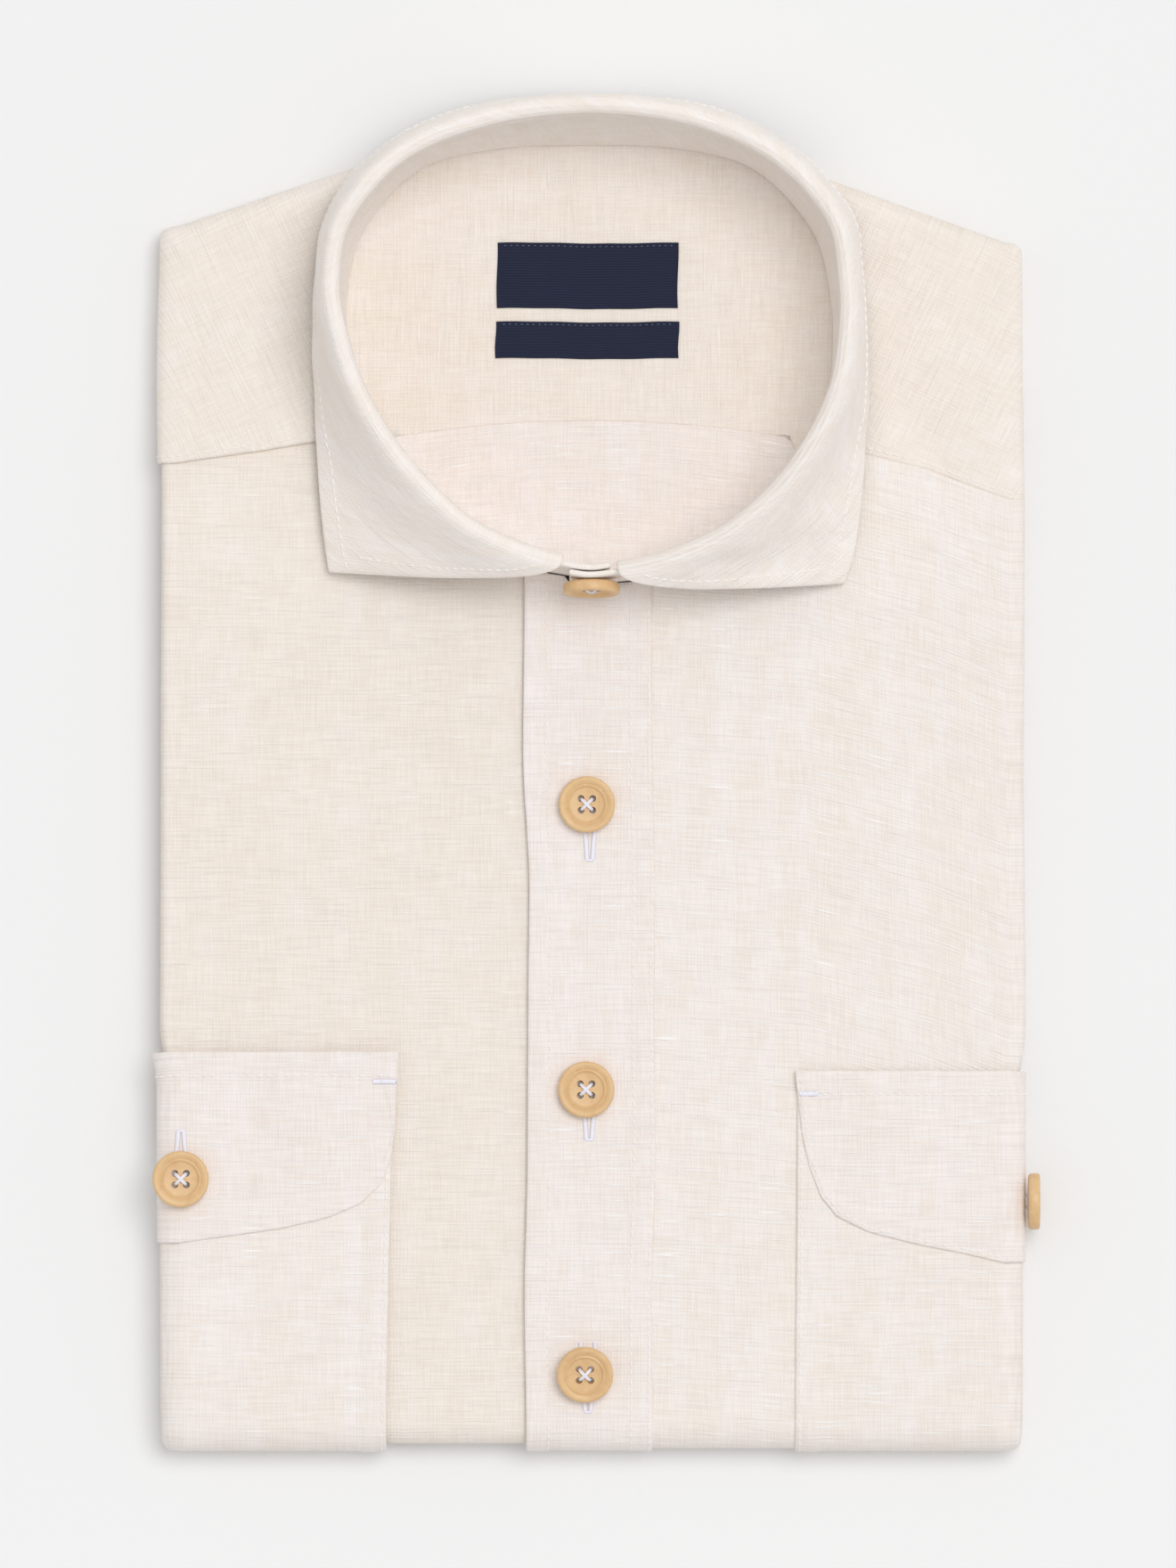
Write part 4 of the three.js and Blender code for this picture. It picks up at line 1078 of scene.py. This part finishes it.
def inside_relief(edges, points):
    x, y = points[..., 0], points[..., 1]
    soft = 0.22 * np.sin(x / 17 + 0.5) * np.sin(y / 13 + 1.1) + 0.12 * np.sin(x / 7.3 + y / 23)
    return soft * smooth(edges["hem"] / 8) * smooth(edges["top"] / 9)


def planar_up(points, edges):
    return np.stack([points[..., 1], points[..., 0]], -1)


for part, node, facing in (("lining", "yoke_lining", 1), ("back", "back_inside", -1)):
    grain = planar_up if part == "lining" else None
    inside = cloth_shell(
        f"inside_{part}", inside_place(part), stops(0, 1, 1.6, 115.0), stops(0, 1, 1.6, 55.0),
        (0, PANEL), facing, inside_relief, grain,
    )
    # The lining has the darker copy of the linen, whose tone is partly painted shade.
    finish = LINEN_SHADED if part == "lining" else LINEN_DOUBLED
    fit_cloth(inside, node, finish)

LABEL_LAYER, LABEL_SEW, LABEL_RIB = (0.08, 0.5), 0.9, 0.7


def woven_label():
    """Navy satin-woven polyester, with fine ribs across"""
    finish, tree, shader = new_finish(
        "navy woven satin", Roughness=0.75, Sheen_Weight=0.03, Specular_IOR_Level=0.2
    )
    own = add_node(tree, "ShaderNodeUVMap", uv_map="cloth")["UV"]
    waves = {"Vector": own, "Scale": WAVE / LABEL_RIB, "Distortion": 0.3}
    ribs = add_node(tree, "ShaderNodeTexWave", waves, bands_direction="Y")["Fac"]
    tint(tree, shader, ribs, "#1a2034", "#242a41")
    relief = {"Height": ribs, "Strength": 0.4, "Distance": 0.05 * MM}
    tree.links.new(add_node(tree, "ShaderNodeBump", relief)["Normal"], shader.inputs["Normal"])
    return finish


NAVY = woven_label()
LABEL_THREAD = sewing_thread("blue polyester sewing thread", "#5a6076", "#73798c")
lining_top = surface(bpy.data.objects["inside_lining"])


def label_place(node):
    low, high = (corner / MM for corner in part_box(node))

    def place(u, v):
        x = mix(low.x, high.x, u) + 0.18 * np.sin(v * 5 + 1)
        y = mix(high.y, low.y, v) + 0.16 * np.sin(u * 7 + 0.6) + 0.05 * np.sin(u * 23)
        level = [
            lining_top.ray_cast(Vector((a, b, 30)), Vector((0, 0, -1)))[0].z for a, b in zip(x.flat, y.flat)
        ]
        return np.stack([x, y, np.reshape(level, x.shape)], -1)

    return place


def label_relief(edges, points):
    inset = np.minimum.reduce(list(edges.values())) - LABEL_SEW
    return pucker(inset, points[..., 0], 0.1, 1)


for node, name, high in (("label_main", "neck_label", 0.0185), ("label_size", "size_label", 0.0115)):
    place = label_place(node)
    wide, deep = 49.0, 1000 * high
    label = cloth_shell(
        name, place, stops(0, 1, 1.5, wide), stops(0, 1, 1.2, deep), LABEL_LAYER, -1, label_relief,
    )
    label_top = surface(label)
    us = np.linspace(0.02, 0.98, 90)
    path = place(us, np.full(90, LABEL_SEW / deep)) + np.array([0, 0, LABEL_LAYER[1]])
    label_sewing = stitches(path, label_top, 1.6, 0.6, 0.22)
    label_thread = sew(name + "_stitches", label_sewing, LABEL_THREAD)
    fit_cloth(
        label, node, NAVY,
    )

# Collar stand
# A stiff doubled band round the neck. It leans out a little at the back, and its left end laps
# over its right end in front, where the top button closes it.

STAND_REVEAL = 0.35


def stand_place(station, v):
    foot, crest = on_curve("seam", station), on_curve("crest", station)
    crest[..., 2] -= STAND_REVEAL
    return mix(foot, crest, v[..., None])


def round_neck(points, edges):
    """The stand's and the collar's own coordinates, whose weft runs round the neck"""
    return np.stack([edges["start"], edges["top"]], -1)


stand = cloth_shell(
    "collar_stand_band", stand_place, stops(0, LAST, 1.6, 17.0), stops(0, 1, 1.5, 30.0),
    (-STAND_CLOTH / 2, STAND_CLOTH / 2), -1, None, round_neck,
)
# The stand and the collar have the paler copy of the linen, whose tone is partly painted light.
fit_cloth(stand, "collar_stand", LINEN_COLLAR_PAINTED_LIGHT)

# Turned-down collar
# Doubled linen with a stiff lining, sewn to the top of the stand. It rolls over softly, so that a
# round edge shows, and spreads in front into two points. Its rows of stitches lie 5.7 mm in.

INNER_LIMB = 4.0
ROLL = STAND_CLOTH / 2 + GAP + COLLAR_CLOTH / 2
LEAF, LEAF_SAG = (2.0, 22.0), (1.3, 1.7)
ARC, HANG = 3.0, 8.0
COLLAR_ROW = 5.7
UP = np.array([0.0, 0.0, 1.0])


def fall_place(station, v):
    crest, out = on_curve("crest", station), outward("crest", station)
    middle = crest - 0.5 * UP
    foot = on_curve("seam", station) - crest
    lean = foot / -foot[..., 2:]
    limb = middle - ROLL * out + lean * (INNER_LIMB * (1 - v))[..., None]
    angle = (np.pi / 2 * np.clip((v - 1) / ARC, 0, 1))[..., None]
    arc = middle - ROLL * np.cos(angle) * out + ROLL * np.sin(angle) * UP
    t = np.clip((v - 1 - ARC) / HANG, 0, 1.01)[..., None]
    start, edge = middle + ROLL * UP, on_curve("edge", station)
    shoulder, lower = start + 3.4 * out, mix(edge, start + 2.8 * out, 0.45)
    hang = (
        start * (1 - t) ** 3 + 3 * shoulder * t * (1 - t) ** 2 + 3 * lower * t**2 * (1 - t) + edge * t**3
    )
    sag = sum(depth * np.exp(-((station - end) ** 2)) for end, depth in zip(LEAF, LEAF_SAG))
    hang[..., 1] -= sag * np.sin(np.pi * np.clip(t[..., 0], 0, 1)) ** 0.8
    rolled = np.where((v < 1)[..., None], limb, arc)
    return np.where((v < 1 + ARC)[..., None], rolled, hang)


def fall_relief(edges, points):
    free = np.minimum.reduce([edges["start"], edges["end"], edges["hem"]])
    run = edges["start"]
    body = smooth((edges["top"] - 8) / 10)
    band = 0.22 * smooth((COLLAR_ROW + 1.2 - free) / 1.2)
    waves = 0.3 * np.sin(run / 8.2 + 0.6) * np.sin(edges["top"] / 6.5 + run / 31)
    waves = waves + 0.18 * np.sin(run / 3.1 + edges["top"] / 5) * np.sin(run / 23)
    return body * (band + waves + pucker(free - COLLAR_ROW, run, 0.2, 0.7))


fall_rows = np.concatenate([
    [0, 0.03, 0.1, 0.2, 0.4, 0.6, 0.8], np.linspace(1, 1 + ARC, 12),
    1 + ARC + stops(0, HANG, 1.4, 6.5)[OPEN_START],
])
fall = cloth_shell(
    "collar_fall_cloth", fall_place, stops(LEAF[0], LEAF[1], 1.9, 17.0), fall_rows,
    (-COLLAR_CLOTH / 2, COLLAR_CLOTH / 2), 1, fall_relief, round_neck,
)
fall_top = surface(fall)
hem = 1 + ARC + HANG


def collar_row(stations, v, inner_stations, inner_v):
    """A row of stitches inside an edge of the collar, towards places further in"""
    points, normals = facing_out(fall_place, *np.broadcast_arrays(stations, v), 1)
    inward = unit(fall_place(*np.broadcast_arrays(inner_stations, inner_v)) - points)
    return stitches(points + inward * COLLAR_ROW + normals * COLLAR_CLOTH / 2, fall_top)


stations = np.linspace(LEAF[0] + 0.12, LEAF[1] - 0.12, 500)
collar_sewing = collar_row(stations, hem - 0.01, stations, hem - 0.5)
for end, towards in ((LEAF[0], 1), (LEAF[1], -1)):
    places = np.linspace(1 + ARC + 0.6, hem - 0.9, 80)
    collar_sewing += collar_row(end, places, end + towards * 0.4, places)
collar_thread = sew("collar_stitches", collar_sewing, THREAD)
fit_cloth(
    fall, "collar_fall", LINEN_COLLAR_PAINTED_LIGHT
)

# Buttons
# Six turned corozo buttons, 15 mm across, with four holes, a dished middle and a ring turned in the
# rim. Each is sewn on with a cross of white thread. One sits on the side fold and one stands upright.

BUTTON_RADIUS, BUTTON_THICK, HOLE_RADIUS, HOLE_OFF = 7.6, 3.2, 0.92, 1.58
# Steps of the turned face: how far in each ring goes and its height
BUTTON_FACE = [(0.9, 3.15), (0.75, 2.95), (0.4, 2.62), (0.45, 2.8), (0.6, 2.25), (1.2, 2.05)]
BUTTON_EDGE, BUTTON_FOOT = 0.75, 1.1
STRAND_APART, STRAND_THICK = 0.26, 0.36
FACINGS = {
    "button_front_1": (0, 0, 1),
    "button_front_2": (0, 0, 1),
    "button_front_3": (0, -math.sin(math.radians(14)), math.cos(math.radians(14))),
    "button_pocket_right": (0, 0, 1),
    "button_pocket_left": (1, 0, 0),
    "button_collar": (0, -math.cos(math.radians(9)), math.sin(math.radians(9))),
}
# How far the buttons are pulled in to the cloth by their thread
BUTTON_SINK = {node: 0.75 for node in FACINGS}
BUTTON_SINK |= {"button_pocket_right": 0.9, "button_pocket_left": 0.9, "button_collar": 0.0}


def corozo_nut():
    """Tan corozo nut, turned and lightly polished, with faint growth bands"""
    finish, tree, shader = new_finish("tan corozo nut", Roughness=0.42, IOR=1.5)
    place = add_node(tree, "ShaderNodeTexCoord")["Object"]
    bands = add_node(
        tree, "ShaderNodeTexNoise", {"Vector": place, "Scale": 260.0, "Detail": 3.0, "Distortion": 1.5}
    )["Fac"]
    tint(tree, shader, bands, "#d3a977", "#edca98")
    return finish


def choose(mesh, kind, wanted):
    """Selects the faces or edges for which wanted is true, in edit mode"""
    shape = bmesh.from_edit_mesh(mesh)
    for part in list(shape.faces) + list(shape.edges) + list(shape.verts):
        part.select = False
    for part in getattr(shape, kind):
        if wanted(part):
            part.select_set(True)
    bmesh.update_edit_mesh(mesh)


def select_only(piece):
    bpy.ops.object.select_all(action="DESELECT")
    piece.select_set(True)
    bpy.context.view_layer.objects.active = piece


def turned_button():
    bpy.ops.object.select_all(action="DESELECT")
    bpy.ops.mesh.primitive_cylinder_add(
        vertices=64, radius=BUTTON_RADIUS * MM, depth=BUTTON_THICK * MM,
        location=(0, 0, BUTTON_THICK * MM / 2),
    )
    bpy.ops.object.transform_apply(location=True)
    button = bpy.context.object
    bpy.ops.object.mode_set(mode="EDIT")
    bpy.ops.mesh.select_mode(type="FACE")
    choose(button.data, "faces", lambda face: face.normal.z > 0.9)
    level = BUTTON_THICK
    for inward, height in BUTTON_FACE:
        bpy.ops.mesh.inset(thickness=inward * MM, depth=0)
        bpy.ops.transform.translate(value=(0, 0, (height - level) * MM))
        level = height
    bpy.ops.mesh.select_mode(type="EDGE")
    for top, width in ((True, BUTTON_EDGE), (False, BUTTON_FOOT)):
        choose(
            button.data, "edges",
            lambda edge: all(
                math.hypot(v.co.x, v.co.y) > (BUTTON_RADIUS - 0.01) * MM
                and (v.co.z > 0.9 * BUTTON_THICK * MM) == top
                and (v.co.z < 0.1 * BUTTON_THICK * MM) != top
                for v in edge.verts
            ),
        )
        bpy.ops.mesh.bevel(offset=width * MM, segments=4)
    bpy.ops.object.mode_set(mode="OBJECT")
    for across in (-HOLE_OFF, HOLE_OFF):
        for along in (-HOLE_OFF, HOLE_OFF):
            bpy.ops.object.select_all(action="DESELECT")
            bpy.ops.mesh.primitive_cylinder_add(
                vertices=24, radius=HOLE_RADIUS * MM, depth=12 * MM, location=(across * MM, along * MM, 0)
            )
            cut_away(button, bpy.context.object)
    select_only(button)
    bpy.ops.object.shade_smooth_by_angle(angle=math.radians(28))
    return button


def thread_cross():
    """Three strands over each diagonal, down through the holes to the cloth"""
    tubes = []
    floor = BUTTON_FACE[-1][1]
    for turn in (45, 135):
        way = np.array([math.cos(math.radians(turn)), math.sin(math.radians(turn)), 0])
        beside = np.array([-way[1], way[0], 0])
        reach = HOLE_OFF * math.sqrt(2)
        for strand in (-1, 0, 1):
            rising = [floor + step for step in (-0.9, 0.05, 0.45)]
            stops_out = np.array([-1, -0.98, -0.86, -0.5, 0, 0.5, 0.86, 0.98, 1]) * reach
            heights = np.array([-0.7, *rising, floor + 0.6, *rising[::-1], -0.7])
            if turn == 135:
                heights[2:7] += 0.22
            line = way * stops_out[:, None] + beside * strand * STRAND_APART + UP * heights[:, None]
            normals = unit(np.cross(np.gradient(line, axis=0), -beside))
            tubes.append(tube(line, normals, *np.full((2, 9), STRAND_THICK)))
    return tubes


NUT = corozo_nut()
first_button = turned_button()
cross = thread_cross()
cross_tubes = []
for node, facing in FACINGS.items():
    button = first_button.copy()
    button.data = first_button.data.copy()
    button.name = node.replace("button", "turned_button")
    bpy.context.scene.collection.objects.link(button)
    facing = Vector(facing)
    turn = Vector((0, 0, 1)).rotation_difference(facing)
    seat = box_middle(node) - facing * (BUTTON_THICK / 2 + BUTTON_SINK[node])
    button.rotation_mode = "QUATERNION"
    button.rotation_quaternion, button.location = turn, seat * MM
    select_only(button)
    bpy.ops.object.transform_apply(location=True, rotation=True)
    button.data.materials.append(NUT)
    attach(button, "root")
    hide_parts(node)
    spin = np.array(turn.to_matrix())
    cross_tubes += [(points @ spin.T + np.array(seat), faces) for points, faces in cross]
bpy.data.objects.remove(first_button)
sew("button_threads", cross_tubes, SATIN_THREAD)
